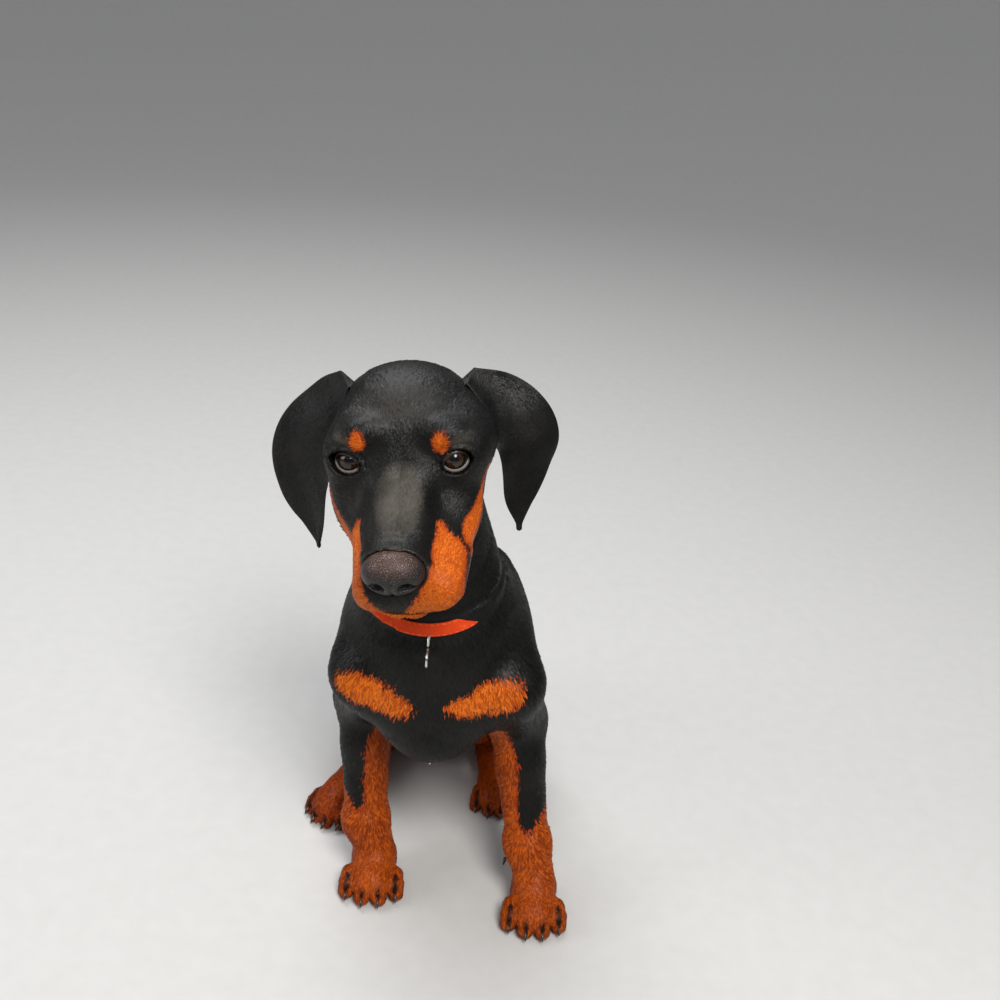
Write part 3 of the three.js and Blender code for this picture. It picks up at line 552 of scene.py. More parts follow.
def grid_net(field, xs, ys, zs):
    """Closed quads through the zero level of a field sampled on crossed axes."""
    shape = (len(xs), len(ys), len(zs))
    d = sample(field, xs, ys, zs)
    d[[0, -1]] = np.maximum(d[[0, -1]], 1)
    d[:, [0, -1]] = np.maximum(d[:, [0, -1]], 1)
    d[:, :, [0, -1]] = np.maximum(d[:, :, [0, -1]], 1)
    inside = d < 0
    count = np.zeros([n - 1 for n in shape], np.uint8)
    corners = [(i, j, k) for i in (0, 1) for j in (0, 1) for k in (0, 1)]

    def shifted(array, corner):
        return array[tuple(slice(c, n - 1 + c) for c, n in zip(corner, shape))]
    for corner in corners:
        count += shifted(inside, corner)
    cells = np.argwhere((count > 0) & (count < 8))
    names = np.full([n - 1 for n in shape], -1, np.int32)
    names[tuple(cells.T)] = np.arange(len(cells))
    values = {c: d[tuple((cells + c).T)] for c in corners}
    total = np.zeros((len(cells), 3))
    crossings = np.zeros(len(cells))
    for corner in corners:
        for axis in range(3):
            if corner[axis]:
                continue
            other = tuple(1 if i == axis else corner[i] for i in range(3))
            va, vb = values[corner], values[other]
            hit = (va < 0) != (vb < 0)
            t = va[hit] / (va[hit] - vb[hit])
            point = np.tile(np.array(corner, float), (hit.sum(), 1))
            point[:, axis] += t
            total[hit] += point
            crossings[hit] += 1
    local = total / crossings[:, None]
    vertices = np.empty_like(local)
    for axis, line in enumerate((xs, ys, zs)):
        start = line[cells[:, axis]]
        vertices[:, axis] = start + local[:, axis] * (line[cells[:, axis] + 1] - start)
    quads = []
    for axis in range(3):
        b, c = (axis + 1) % 3, (axis + 2) % 3
        low = [slice(1, n - 1) for n in shape]
        low[axis] = slice(0, shape[axis] - 1)
        high = list(low)
        high[axis] = slice(1, shape[axis])
        first, second = inside[tuple(low)], inside[tuple(high)]
        at = np.argwhere(first != second) + [s.start for s in low]
        out = first[tuple((at - [s.start for s in low]).T)]
        ring = []
        for m, n in ((0, 0), (1, 0), (1, 1), (0, 1)):
            cell = at.copy()
            cell[:, b] -= m
            cell[:, c] -= n
            ring.append(names[tuple(cell.T)])
        ring = np.stack(ring, 1)
        ring[~out] = ring[~out][:, ::-1]
        quads.append(ring)
    return vertices, np.concatenate(quads)


def gradient(field, p, h=0.25):
    g = np.empty_like(p)
    for axis in range(3):
        step = np.zeros(3)
        step[axis] = h
        g[:, axis] = (field(p + step) - field(p - step)) / (2 * h)
    return g


def settle(field, vertices, limit, rounds=3):
    p = vertices.copy()
    for _ in range(rounds):
        g = gradient(field, p)
        steep = np.maximum((g * g).sum(1), 0.3)
        move = np.clip(field(p) / steep, -limit, limit)
        p -= g * move[:, None]
    return p


def blocks(field):
    """Evaluates a field in chunks, to keep memory small."""
    def wrapped(p):
        return np.concatenate([field(part) for part in np.array_split(p, max(1, len(p) // 60000))])
    return wrapped


def new_mesh(name, vertices, faces, material, normals=None, attributes=None, uv=None):
    """A smooth mesh object from points in working millimetres; faces all have the same number of corners."""
    mesh = bpy.data.meshes.new(name)
    faces = np.asarray(faces)
    count, corners = faces.shape
    mesh.vertices.add(len(vertices))
    mesh.vertices.foreach_set("co", to_metres(vertices).astype(np.float32).ravel())
    mesh.loops.add(count * corners)
    mesh.loops.foreach_set("vertex_index", faces.astype(np.int32).ravel())
    mesh.polygons.add(count)
    mesh.polygons.foreach_set("loop_start", np.arange(0, count * corners, corners, dtype=np.int32))
    mesh.polygons.foreach_set("use_smooth", np.full(count, True))
    mesh.update(calc_edges=True)
    for key, values in (attributes or {}).items():
        if values.ndim == 1:
            layer = mesh.attributes.new(key, "FLOAT", "POINT")
            layer.data.foreach_set("value", values.astype(np.float32))
        else:
            layer = mesh.attributes.new(key, "FLOAT_VECTOR", "POINT")
            layer.data.foreach_set("vector", values.astype(np.float32).ravel())
    if uv is not None:
        layer = mesh.uv_layers.new(name="OFBake")
        layer.data.foreach_set("uv", uv[faces.ravel()].astype(np.float32).ravel())
    if normals is not None:
        mesh.normals_split_custom_set_from_vertices(normals.astype(np.float32))
    piece = bpy.data.objects.new(name, mesh)
    bpy.context.collection.objects.link(piece)
    mesh.materials.append(material)
    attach(piece, "root")
    return piece


# Markings: distance inside the rust areas in millimetres, positive inside; the same for skin and coat
PIPS = [((27.2, 1, 10.8), (6.0, 14, 7.0)), ((-28.5, 1, 11.4), (5.6, 14, 6.8))]
CHEST_PATCHES = [((40, -116, 218), (22, 46, 14)), ((20, -122, 212), (18, 46, 9)),
                 ((-58, -108, 213), (26, 46, 14)), ((-40, -118, 208), (20, 46, 11))]


def chain(p, points, radii):
    best = np.full(len(p), -1e3)
    for i in range(len(points) - 1):
        form, _, _ = tapered(points[i], points[i + 1], radii[i], radii[i + 1])
        best = np.maximum(best, -form(p))
    return best


def head_rust(q):
    r = np.full(len(q), -1e3)
    for middle, radii in PIPS:
        r = np.maximum(r, -egg(middle, radii)[0](q))
    m = q.copy()
    m[:, 0] = np.abs(q[:, 0])
    side = chain(m, [(25, 46, -27), (31, 62, -36), (27, 92, -46)], [6, 15, 18])
    side = np.maximum(side, chain(m, [(40, 48, -56), (34, 62, -54), (26, 84, -54)], [13, 16, 18]))
    jaw = chain(m, [(10, 92, -66), (14, 50, -72), (20, 14, -76), (16, -10, -84)], [20, 22, 22, 18])
    cheek = chain(m, [(38, 50, -46), (47, 34, -38), (52, 21, -35), (56, 6, -31), (60, -3, -18)],
                  [12, 8, 5.5, 4.5, 3.5])
    r2 = np.maximum(np.maximum(side, jaw), cheek)
    bridge = np.interp(q[:, 2], [-58, -44, -32], [4, 12, 19]) + np.where(q[:, 0] < 0, 3, 0)
    r2 = np.where(q[:, 2] > -62, np.minimum(r2, m[:, 0] - bridge), r2)
    return np.maximum(r, r2)


def foreleg_rust(p, side):
    zs = [60, 74, 99, 132, 160]
    line = np.interp(p[:, 2], zs, [72, 71, 66, 64, 52] if side == "left" else [61, 61, 63, 63, 52])
    a = OUT[side] * p[:, 0] - line
    tip = 74 + 1.1 * np.maximum(a - 6, 0) + 0.6 * np.maximum(6 - a, 0) ** 1.2
    below = tip - p[:, 2]
    inner = np.minimum(-a, 168 - p[:, 2])
    return np.maximum(below, inner)


def limb_distances(p):
    return {name: merge_all(forms, p) for name, forms in GROUPS.items()}


def on_ears(p):
    q = to_head(p)
    found = np.zeros(len(p), bool)
    for name in EARS:
        near, t, w, f, half = near_ear(name, q, 50, 160)
        found[near[(np.abs(f) < 7) & (np.abs(w) < half + 2) & (t > 0.12)]] = True
    return found


def rust_distance(p, limbs):
    r = np.full(len(p), -1e3)
    for middle, radii in CHEST_PATCHES:
        r = np.maximum(r, -egg(middle, radii)[0](p))
    for side, out in OUT.items():
        mine = (limbs["foreleg_" + side] < 6) & (p[:, 2] < 172) & (p[:, 1] < -20)
        r = np.where(mine, np.maximum(r, foreleg_rust(p, side)), r)
        leg = HINDLEGS[side]
        mine = (limbs["hindleg_" + side] < 6) & (p[:, 2] < 110)
        hock, paw = leg["hock"], leg["paw"]
        foot = chain(p, [hock + [0, 8, 0], (hock + paw) / 2, paw], [26, 30, 44])
        inner = np.minimum(-(out * (p[:, 0] + 14) - 52), 84 - p[:, 2])
        inner = np.minimum(inner, 96 - p[:, 1])
        r = np.where(mine, np.maximum(r, np.maximum(foot, inner)), r)
    vent = -egg((-30, 170, 34), (16, 20, 24))[0](p)
    r = np.maximum(r, vent)
    near = length(p - HEAD_MIDDLE) < HEAD_REACH + 10
    if near.any():
        r[near] = np.maximum(r[near], head_rust(to_head(p[near])))
    return np.where(on_ears(p), -1e3, r)


def pencil_marks(p):
    """Dark streak along the top of each toe."""
    dark = np.zeros(len(p))
    for legs, size in ((FORELEGS, FOREPAW), (HINDLEGS, HINDPAW)):
        for leg in legs.values():
            _, forward = paw_frame(leg)
            for knuckle, tip, r in toes(leg, size):
                start = knuckle * 0.6 + tip * 0.4 + np.array([0, 0, r]) + forward * r * 0.2
                end = tip + forward * r * 0.8 + np.array([0, 0, r * 0.7])
                dark = np.maximum(dark, groove(p, start, end, 4.4))
    return dark


def bare_skin(p):
    """Dark hairless leather: lid rims, lips and the ring round the nose."""
    bare = np.zeros(len(p))
    q = to_head(p)
    for name in EYES:
        a, b, g = eye_local(name, q)
        r = length(q - EYES[name])
        rim = np.exp(-(np.maximum(lid_opening(a, b), 0) / 1.3) ** 2) * (g > 0) * (r < 15)
        bare = np.maximum(bare, rim)
    front = (q[:, 1] > 20) & (length(q) < 130)
    lips = line_distance(q[:, 1], q[:, 2], MOUTH_LINE)
    bare = np.maximum(bare, np.exp(-(lips / 2.0) ** 2) * front)
    seat = (length((q - NOSE) / NOSE_SIZE) - 1) * 14
    return np.maximum(bare, np.exp(-(np.maximum(seat, 0) / 2.0) ** 2) * (q[:, 1] > 60))


def fur_flow(p, n):
    """Direction in which the hair lies, tangent to the skin."""
    q = to_head(p)
    reach = length(p - HEAD_MIDDLE)
    head = np.clip((HEAD_REACH - 8 - reach) / 24, 0, 1)[:, None]
    side = np.sign(q[:, 0])[:, None] * HEAD_AXES[0]
    flow = np.zeros_like(p) + [0, 0.30, -1.0]
    flow[:, 0] += 0.15 * np.sign(p[:, 0] + 15)
    back = np.clip((p[:, 1] + 10) / 60, 0, 1)[:, None]
    flow = flow * (1 - back) + np.array([0, 0.55, -0.85]) * back
    paw = np.clip((40 - p[:, 2]) / 20, 0, 1)[:, None] * (p[:, 1] < 60)[:, None]
    flow = flow * (1 - paw) + np.array([0, -0.85, -0.5]) * paw
    tail = np.clip((p[:, 1] - 172) / 16, 0, 1)[:, None]
    flow = flow * (1 - tail) + np.array([0.25, 1.0, -0.05]) * tail
    on_head = -HEAD_AXES[1] - 0.35 * HEAD_AXES[2] + 0.25 * side
    flow = flow * (1 - head) + on_head * head
    for name in EARS:
        near, t, w, f, half = near_ear(name, q, 50, 150)
        along = EAR_LINES[name]["along"][(t * (EAR_STEPS - 1)).astype(int)] @ HEAD_AXES
        on = (np.abs(f) < 9) & (np.abs(w) < half + 3)
        flow[near[on]] = along[on]
    flow -= (flow * n).sum(1, keepdims=True) * n
    return flow / np.maximum(length(flow), 1e-6)[:, None]


def fur_coordinates(p):
    """Millimetres across the hair, and much shorter along it, for streaked texture."""
    q = to_head(p)
    head = np.clip((HEAD_REACH + 10 - length(p - HEAD_MIDDLE)) / 14, 0, 1)[:, None]
    tail = np.clip((p[:, 1] - 176) / 12, 0, 1)[:, None]
    body = p * [1, 1, 0.16]
    on_tail = p * [1, 0.16, 1]
    ear = np.clip((np.abs(q[:, 0]) - 62) / 8, 0, 1)[:, None]
    on_head = q * [1, 0.2, 1] * (1 - ear) + q * [1, 1, 0.2] * ear
    mixed = body * (1 - tail) + on_tail * tail
    return mixed * (1 - head) + (on_head + 500) * head


def deepness_and_shade(p, limbs):
    """How red-brown rather than orange the rust is: darker towards the bottom, so the legs are deepest and
    the chest and muzzle brightest, with painted shade on the inner legs behind the front of the chest.
    """
    legs = np.minimum(limbs["foreleg_left"], limbs["foreleg_right"])
    deep = np.clip((190 - p[:, 2]) / 60, 0, 1) * 0.75
    # Painted shade: rust behind the front of the chest, inside and between the legs, is made darker.
    inner = np.clip((150 - p[:, 2]) / 40, 0, 1) * (p[:, 1] > -70) * 0.2
    return np.clip(deep + inner + 0.1 * np.clip(legs / 20, 0, 1), 0, 1)


def looseness(p):
    """How ragged the edge of a marking is: soft brushed edges on the chest, neat ones on the face."""
    face = np.clip((HEAD_REACH - length(p - HEAD_MIDDLE)) / 20, 0, 1)
    chest = np.clip(1 - length(p - [-12, -110, 215]) / 110, 0, 1)
    return 0.55 + 0.75 * chest - 0.3 * face


def painted_sheen_patches(p):
    """Painted sheen: lighter grey-brown where light catches the black hair on the bridge of the muzzle, the
    brows and the forehead.
    """
    q = to_head(p)
    m = q.copy()
    m[:, 0] = np.abs(q[:, 0])
    bridge = np.clip(1 - (length((q - [1, 40, -6]) / [17, 34, 16]) ** 2), 0, 1) ** 0.6
    brow = np.exp(-(length((m - [40, 4, 12]) / [9, 12, 2.6])) ** 2)
    front = np.clip(1 - length((q - [-6, -24, 22]) / [34, 26, 18]) ** 2, 0, 1) * 0.3
    return np.maximum(np.maximum(bridge, 0.7 * brow), front)


def coat_attributes(p):
    limbs = limb_distances(p)
    # The last entry is the painted sheen on the black hair of the head.
    return dict(rust=rust_distance(p, limbs), deep=deepness_and_shade(p, limbs), pencil=pencil_marks(p),
                bare=bare_skin(p), fur=fur_coordinates(p), loose=looseness(p), painted_sheen=painted_sheen_patches(p)), limbs


# Materials
class Nodes:
    """Short names for building one material's nodes."""

    def __init__(self, name):
        self.material = bpy.data.materials.new(name)
        self.material.use_nodes = True
        self.tree = self.material.node_tree
        self.shader = self.tree.nodes["Principled BSDF"]

    def link(self, a, b):
        self.tree.links.new(a, b)

    def feed(self, socket, value):
        if hasattr(value, "links"):
            self.link(value, socket)
        else:
            socket.default_value = value

    def math(self, operation, a, b=0.0, clamp=False):
        node = self.tree.nodes.new("ShaderNodeMath")
        node.operation = operation
        node.use_clamp = clamp
        self.feed(node.inputs[0], a)
        self.feed(node.inputs[1], b)
        return node.outputs[0]

    def steps(self, value, low, high, out_low=0.0, out_high=1.0):
        node = self.tree.nodes.new("ShaderNodeMapRange")
        node.interpolation_type = "SMOOTHSTEP"
        self.feed(node.inputs["Value"], value)
        for key, number in zip(("From Min", "From Max", "To Min", "To Max"), (low, high, out_low, out_high)):
            node.inputs[key].default_value = number
        return node.outputs[0]

    def mix(self, factor, a, b):
        node = self.tree.nodes.new("ShaderNodeMix")
        node.data_type = "RGBA"
        self.feed(node.inputs[0], factor)
        self.feed(node.inputs[6], a if hasattr(a, "links") else (*a, 1))
        self.feed(node.inputs[7], b if hasattr(b, "links") else (*b, 1))
        return node.outputs[2]

    def attribute(self, name, output="Fac"):
        node = self.tree.nodes.new("ShaderNodeAttribute")
        node.attribute_name = name
        return node.outputs[output]

    def noise(self, vector, scale, detail=2.0, rough=0.5):
        node = self.tree.nodes.new("ShaderNodeTexNoise")
        self.feed(node.inputs["Vector"], vector)
        node.inputs["Scale"].default_value = scale
        node.inputs["Detail"].default_value = detail
        node.inputs["Roughness"].default_value = rough
        return node.outputs["Fac"]

    def object_coordinates(self):
        return self.tree.nodes.new("ShaderNodeTexCoord").outputs["Object"]

    def bump(self, height, distance, strength=1.0, normal=None):
        node = self.tree.nodes.new("ShaderNodeBump")
        node.inputs["Strength"].default_value = strength
        node.inputs["Distance"].default_value = distance
        self.feed(node.inputs["Height"], height)
        if normal is not None:
            self.link(normal, node.inputs["Normal"])
        return node.outputs[0]

    def set(self, **values):
        for key, value in values.items():
            self.feed(self.shader.inputs[key.replace("_", " ")], value)
        return self.material


def coat_material(name):
    m = Nodes(name)
    fur = m.attribute("fur", "Vector")
    where = m.object_coordinates()
    streak = m.noise(fur, 0.9, 3.0, 0.6)
    lock = m.noise(fur, 0.22, 2.0, 0.5)
    patch = m.noise(where, 22.0, 3.0, 0.55)
    tint = m.attribute("tint")
    ragged = m.math("ADD", m.math("MULTIPLY", m.math("SUBTRACT", streak, 0.5), 10.0),
                    m.math("MULTIPLY", m.math("SUBTRACT", lock, 0.5), 16.0))
    ragged = m.math("MULTIPLY", ragged, m.attribute("loose"))
    rust = m.steps(m.math("ADD", m.attribute("rust"), ragged), -1.0, 1.2)
    black = m.mix(m.steps(m.math("ADD", streak, m.math("MULTIPLY", tint, 0.15)), 0.35, 0.8),
                  (0.0014, 0.0013, 0.0012), (0.0060, 0.0055, 0.0048))
    # Painted sheen: the black hair is lightened to grey-brown where light catches it on the muzzle's bridge,
    # the brows and the forehead.
    black = m.mix(m.attribute("painted_sheen"), black, m.mix(streak, (0.028, 0.024, 0.018), (0.105, 0.092, 0.070)))
    black = m.mix(m.steps(patch, 0.5, 0.8), black, (0.0080, 0.0056, 0.0040))
    shade = m.math("ADD", m.math("ADD", streak, m.math("MULTIPLY", tint, 0.25)),
                   m.math("MULTIPLY", m.math("SUBTRACT", patch, 0.5), 0.8))
    bright = m.mix(m.steps(shade, 0.25, 0.8), (0.40, 0.066, 0.005), (0.74, 0.165, 0.012))
    deep = m.mix(m.steps(shade, 0.25, 0.8), (0.15, 0.019, 0.002), (0.40, 0.062, 0.004))
    rusty = m.mix(m.attribute("deep"), bright, deep)
    edge = m.steps(m.attribute("rust"), 0.0, 4.0)
    rusty = m.mix(edge, m.mix(0.5, rusty, (0.30, 0.020, 0.003)), rusty)
    rusty = m.mix(m.steps(m.math("ADD", m.attribute("pencil"), m.math("MULTIPLY", streak, 0.5)), 0.7, 1.2),
                  rusty, (0.008, 0.004, 0.003))
    colour = m.mix(rust, black, rusty)
    colour = m.mix(m.steps(m.attribute("bare"), 0.3, 0.8), colour, (0.018, 0.013, 0.011))
    rough = m.steps(m.attribute("bare"), 0.3, 0.8, 0.44, 0.34)
    height = m.math("ADD", streak, m.math("MULTIPLY", lock, 0.8))
    normal = m.bump(height, 0.0009, 0.55)
    gloss = m.math("SUBTRACT", 0.24, m.math("MULTIPLY", rust, 0.12))
    return m.set(Base_Color=colour, Roughness=rough, Specular_IOR_Level=gloss, Normal=normal)


def eye_material(name):
    m = Nodes(name)
    reach = m.attribute("reach")
    fibre = m.noise(m.attribute("fan", "Vector"), 1.0, 3.0, 0.6)
    iris = m.mix(m.steps(fibre, 0.3, 0.7), (0.012, 0.0045, 0.002), (0.040, 0.015, 0.006))
    iris = m.mix(m.steps(reach, 5.2, 7.0), iris, (0.006, 0.004, 0.003))
    colour = m.mix(m.steps(reach, 2.9, 3.3), (0.001, 0.001, 0.001), iris)
    white = m.mix(m.noise(m.object_coordinates(), 900.0), (0.012, 0.008, 0.007), (0.03, 0.02, 0.017))
    colour = m.mix(m.steps(reach, 7.4, 8.2), colour, white)
    return m.set(Base_Color=colour, Roughness=0.12, Coat_Weight=0.3, Coat_Roughness=0.03,
                 Specular_IOR_Level=0.3)


def nose_material(name):
    m = Nodes(name)
    where = m.object_coordinates()
    cells = m.tree.nodes.new("ShaderNodeTexVoronoi")
    cells.feature = "DISTANCE_TO_EDGE"
    cells.inputs["Scale"].default_value = 620.0
    m.link(where, cells.inputs["Vector"])
    pebble = m.steps(cells.outputs["Distance"], 0.02, 0.25)
    blotch = m.noise(where, 90.0, 3.0)
    colour = m.mix(blotch, (0.003, 0.0025, 0.0025), (0.010, 0.008, 0.007))
    # Partly the leather's own reddish tint, partly painted highlight: the upper face of the pad is lighter
    # brown where light falls on it.
    top = m.mix(blotch, (0.035, 0.014, 0.009), (0.09, 0.045, 0.032))
    colour = m.mix(m.steps(m.attribute("height"), 0.35, 0.95), colour, top)
    return m.set(Base_Color=colour, Roughness=m.steps(blotch, 0.3, 0.7, 0.30, 0.46), Specular_IOR_Level=0.5,
                 Normal=m.bump(pebble, 0.0005, 0.6))


def claw_material(name):
    m = Nodes(name)
    along = m.noise(m.object_coordinates(), 420.0, 2.0)
    colour = m.mix(along, (0.012, 0.009, 0.008), (0.050, 0.036, 0.028))
    return m.set(Base_Color=colour, Roughness=0.32, Coat_Weight=0.15, Normal=m.bump(along, 0.0002, 0.4))


def strap_material(name):
    m = Nodes(name)
    weave = m.attribute("weave", "Vector")
    parts = m.tree.nodes.new("ShaderNodeSeparateXYZ")
    m.link(weave, parts.inputs[0])
    warp = m.math("SINE", m.math("MULTIPLY", parts.outputs[0], 5.2))
    weft = m.math("SINE", m.math("MULTIPLY", parts.outputs[1], 5.2))
    threads = m.math("MULTIPLY", warp, weft)
    wear = m.noise(m.object_coordinates(), 160.0, 4.0, 0.6)
    colour = m.mix(m.steps(threads, -0.8, 0.9), (0.55, 0.022, 0.004), (0.90, 0.085, 0.008))
    colour = m.mix(m.steps(wear, 0.55, 0.8), colour, (0.80, 0.13, 0.015))
    stitch = m.steps(m.attribute("stitch"), 0.4, 0.6)
    colour = m.mix(stitch, colour, (0.85, 0.12, 0.02))
    height = m.math("ADD", threads, m.math("MULTIPLY", stitch, 2.0))
    return m.set(Base_Color=colour, Roughness=0.7, Specular_IOR_Level=0.2,
                 Normal=m.bump(height, 0.00025, 0.7))


def metal_material(name):
    m = Nodes(name)
    where = m.object_coordinates()
    scratch = m.noise(where, 700.0, 4.0, 0.7)
    colour = m.mix(scratch, (0.52, 0.51, 0.49), (0.80, 0.79, 0.77))
    return m.set(Base_Color=colour, Metallic=1.0, Roughness=m.steps(scratch, 0.3, 0.7, 0.18, 0.34),
                 Normal=m.bump(scratch, 0.0001, 0.3))


def lid_material(name):
    m = Nodes(name)
    where = m.object_coordinates()
    blotch = m.noise(where, 400.0, 3.0)
    fur = m.mix(blotch, (0.0022, 0.0020, 0.0019), (0.0085, 0.0070, 0.0055))
    leather = m.mix(blotch, (0.010, 0.007, 0.006), (0.030, 0.022, 0.018))
    # Painted highlight: the wet rim of the lower lid is coloured pale grey where it catches the light.
    painted_wet_glint = m.mix(blotch, (0.10, 0.085, 0.07), (0.26, 0.23, 0.20))
    lower_rim_glint = m.math("MULTIPLY", m.steps(m.attribute("low"), -0.25, -0.6),
                   m.steps(m.attribute("rim"), 2.2, 1.2))
    colour = m.mix(lower_rim_glint, leather, painted_wet_glint)
    colour = m.mix(m.steps(m.attribute("rim"), 1.6, 3.2), colour, fur)
    return m.set(Base_Color=colour, Roughness=m.steps(m.attribute("rim"), 1.2, 3.0, 0.3, 0.5),
                 Normal=m.bump(blotch, 0.0002, 0.5))


COAT = coat_material("coat_black_and_rust")
LID_LOOK = lid_material("lid_skin")
EYE_LOOK = eye_material("eye_brown")
NOSE_LOOK = nose_material("nose_leather")
CLAW_LOOK = claw_material("claw_horn")
STRAP_LOOK = strap_material("collar_strap")
METAL_LOOK = metal_material("steel")

# Skin: one closed surface for the whole animal
SKIN_X = np.arange(-150.0, 122, 1.8)
SKIN_Y = np.concatenate([np.arange(-202.0, -60, 1.75), np.arange(-60.0, 326, 3.3)])
SKIN_Z = np.concatenate([np.arange(-2.0, 46, 1.9), np.arange(46.0, 246, 3.2), np.arange(246.0, 298, 2.0),
                         np.arange(298.0, 466, 1.75)])
skin_vertices, skin_quads = grid_net(skin_field, SKIN_X, SKIN_Y, SKIN_Z)
skin_vertices = settle(blocks(skin_field), skin_vertices, 0.8)
skin_vertices[:, 2] = np.maximum(skin_vertices[:, 2], 0.06)
skin_normals = unit(gradient(blocks(skin_field), skin_vertices) + 1e-9)
for name in EARS:
    leaf, leaf_normals, leaf_quads = ear_leaf(name)
    skin_quads = np.concatenate([skin_quads, leaf_quads + len(skin_vertices)])
    skin_vertices = np.concatenate([skin_vertices, from_head(leaf)])
    skin_normals = np.concatenate([skin_normals, leaf_normals @ HEAD_AXES])
skin_looks, _ = coat_attributes(skin_vertices)
skin_looks["tint"] = np.zeros(len(skin_vertices))
skin = new_mesh("skin", skin_vertices, skin_quads, COAT, attributes=skin_looks)
FLESH = [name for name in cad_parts
         if name.split("_")[0] in ("head", "ear", "neck", "torso", "tail", "foreleg", "forepaw", "thigh",
                                   "shank", "hindpaw")]
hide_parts(*FLESH)

# Tufts: flat tapered locks of a few hairs, laid along the coat
TUFT_FACES = np.array([[2, 1, 0], [3, 2, 0], [4, 2, 3]])
TUFT_POINTS = 5
ROOT_DEPTH = 0.25
PATCH_HALF = 0.0015
ATLAS = 8
REGION_NAMES = ["trunk", "foreleg_left", "foreleg_right", "hindleg_left", "hindleg_right", "tail", "head",
                "ear_left", "ear_right"]


def region_of(p, limbs):
    table = np.stack([limbs[name] for name in REGION_NAMES[:6]], 1)
    region = table.argmin(1)
    q = to_head(p)
    reach = length(p - HEAD_MIDDLE)
    region[reach < HEAD_REACH - 10] = 6
    for i, name in enumerate(EARS):
        near, t, w, f, half = near_ear(name, q, 56, 150)
        region[near[(np.abs(f) < 9) & (np.abs(w) < half + 3) & (t > 0.1)]] = 7 + i
    return region


def atlas_place(p, n, region):
    """Place on an unwrap of the skin: each body part seen from its six sides, one tile a side."""
    q = np.where((region >= 6)[:, None], to_head(p), p)
    turned = np.where((region >= 6)[:, None], n @ HEAD_AXES.T, n)
    axis = np.abs(turned).argmax(1)
    rows = np.arange(len(p))
    positive = turned[rows, axis] > 0
    tile = region * 6 + axis * 2 + positive
    flat = np.stack([q[rows, (axis + 1) % 3], q[rows, (axis + 2) % 3]], 1)
    spots = np.empty((len(p), 2))
    for number in np.unique(tile):
        mine = tile == number
        low, high = flat[mine].min(0), flat[mine].max(0)
        spots[mine] = 0.04 + 0.92 * (flat[mine] - low) / np.maximum(high - low, 1).max()
    return (spots + np.stack([tile % ATLAS, tile // ATLAS], 1)) / ATLAS


def near_ear_rim(p):
    q = to_head(p)
    found = np.zeros(len(p), bool)
    for name in EARS:
        near, _, w, f, half = near_ear(name, q, 24, 160)
        rim = (np.abs(f) < 9) & (np.abs(w) > half - 3.5) & (np.abs(w) < half + 3)
        root = length(q[near] - EAR_LINES[name]["middle"][0]) < 16
        found[near[rim | root]] = True
    return found


def make_tufts(name, chosen, count, size, lift, seed):
    """Scatters tufts over the chosen faces, laid along the flow of the coat."""
    rng = np.random.default_rng(seed)
    quads = skin_quads[chosen]
    corners = skin_vertices[quads]
    area = length(np.cross(corners[:, 2] - corners[:, 0], corners[:, 3] - corners[:, 1])) / 2
    pick = rng.choice(len(quads), count, p=area / area.sum())
    u, v = rng.random(count)[:, None], rng.random(count)[:, None]

    def spread(values):
        c = values[quads[pick]]
        return (c[:, 0] * (1 - u) + c[:, 1] * u) * (1 - v) + (c[:, 3] * (1 - u) + c[:, 2] * u) * v
    root, normal = spread(skin_vertices), unit(spread(skin_normals))
    looks, limbs = coat_attributes(root)
    rel = root - COLLAR_MIDDLE
    height = rel @ COLLAR_NORMAL
    strapped = (height > -COLLAR_WIDTH / 2 - 1) & (height < COLLAR_WIDTH / 2 + 5) & (length(rel) < 110)
    keep = (looks["bare"] < 0.25) & (root[:, 2] > 2.5) & ~strapped & ~near_ear_rim(root)
    root, normal = root[keep], normal[keep]
    looks = {key: values[keep] for key, values in looks.items()}
    limbs = {key: values[keep] for key, values in limbs.items()}
    number = len(root)
    flow = fur_flow(root, normal)
    swing = rng.normal(0, 0.16, number)[:, None]
    across = np.cross(normal, flow)
    flow = unit(flow + across * swing)
    across = np.cross(normal, flow)
    long = (size[0] * rng.uniform(0.7, 1.3, number))[:, None]
    wide = (size[1] * rng.uniform(0.7, 1.3, number))[:, None]
    rise = (lift * rng.uniform(0.5, 1.5, number))[:, None]
    bend = rng.normal(0, 0.06, number)[:, None] * long
    base = root - normal * ROOT_DEPTH
    middle = root + flow * long * 0.5 + normal * rise * 0.75 + across * bend
    tip = root + flow * long + normal * rise * 0.8 + across * bend * 2.2
    points = np.stack([base - across * wide * 0.35, base + across * wide * 0.35,
                       middle + across * wide * 0.5, middle - across * wide * 0.5, tip], 1)
    points[..., 2] = np.maximum(points[..., 2], 0.1)
    index = (np.arange(number) * TUFT_POINTS)[:, None, None]
    faces = (index + TUFT_FACES[None]).reshape(-1, 3)
    tint = rng.normal(0, 1, number)
    tilt = rng.normal(0, 0.10, (number, 1))
    shading = unit(normal + across * tilt - flow * 0.10)
    spots = atlas_place(root, normal, region_of(root, limbs))
    patch = np.array([[-1, -1], [1, -1], [1, 0.3], [-1, 0.3], [0, 1]]) * PATCH_HALF
    uv = (spots[:, None, :] + patch[None]).reshape(-1, 2)
    looks["fur"] = looks["fur"] + rng.uniform(0, 40, (number, 1))
    looks["tint"] = tint
    attributes = {key: np.repeat(values, TUFT_POINTS, axis=0) for key, values in looks.items()}
    piece = new_mesh(name, points.reshape(-1, 3), faces, COAT, attributes=attributes, uv=uv,
                     normals=np.repeat(shading, TUFT_POINTS, axis=0))


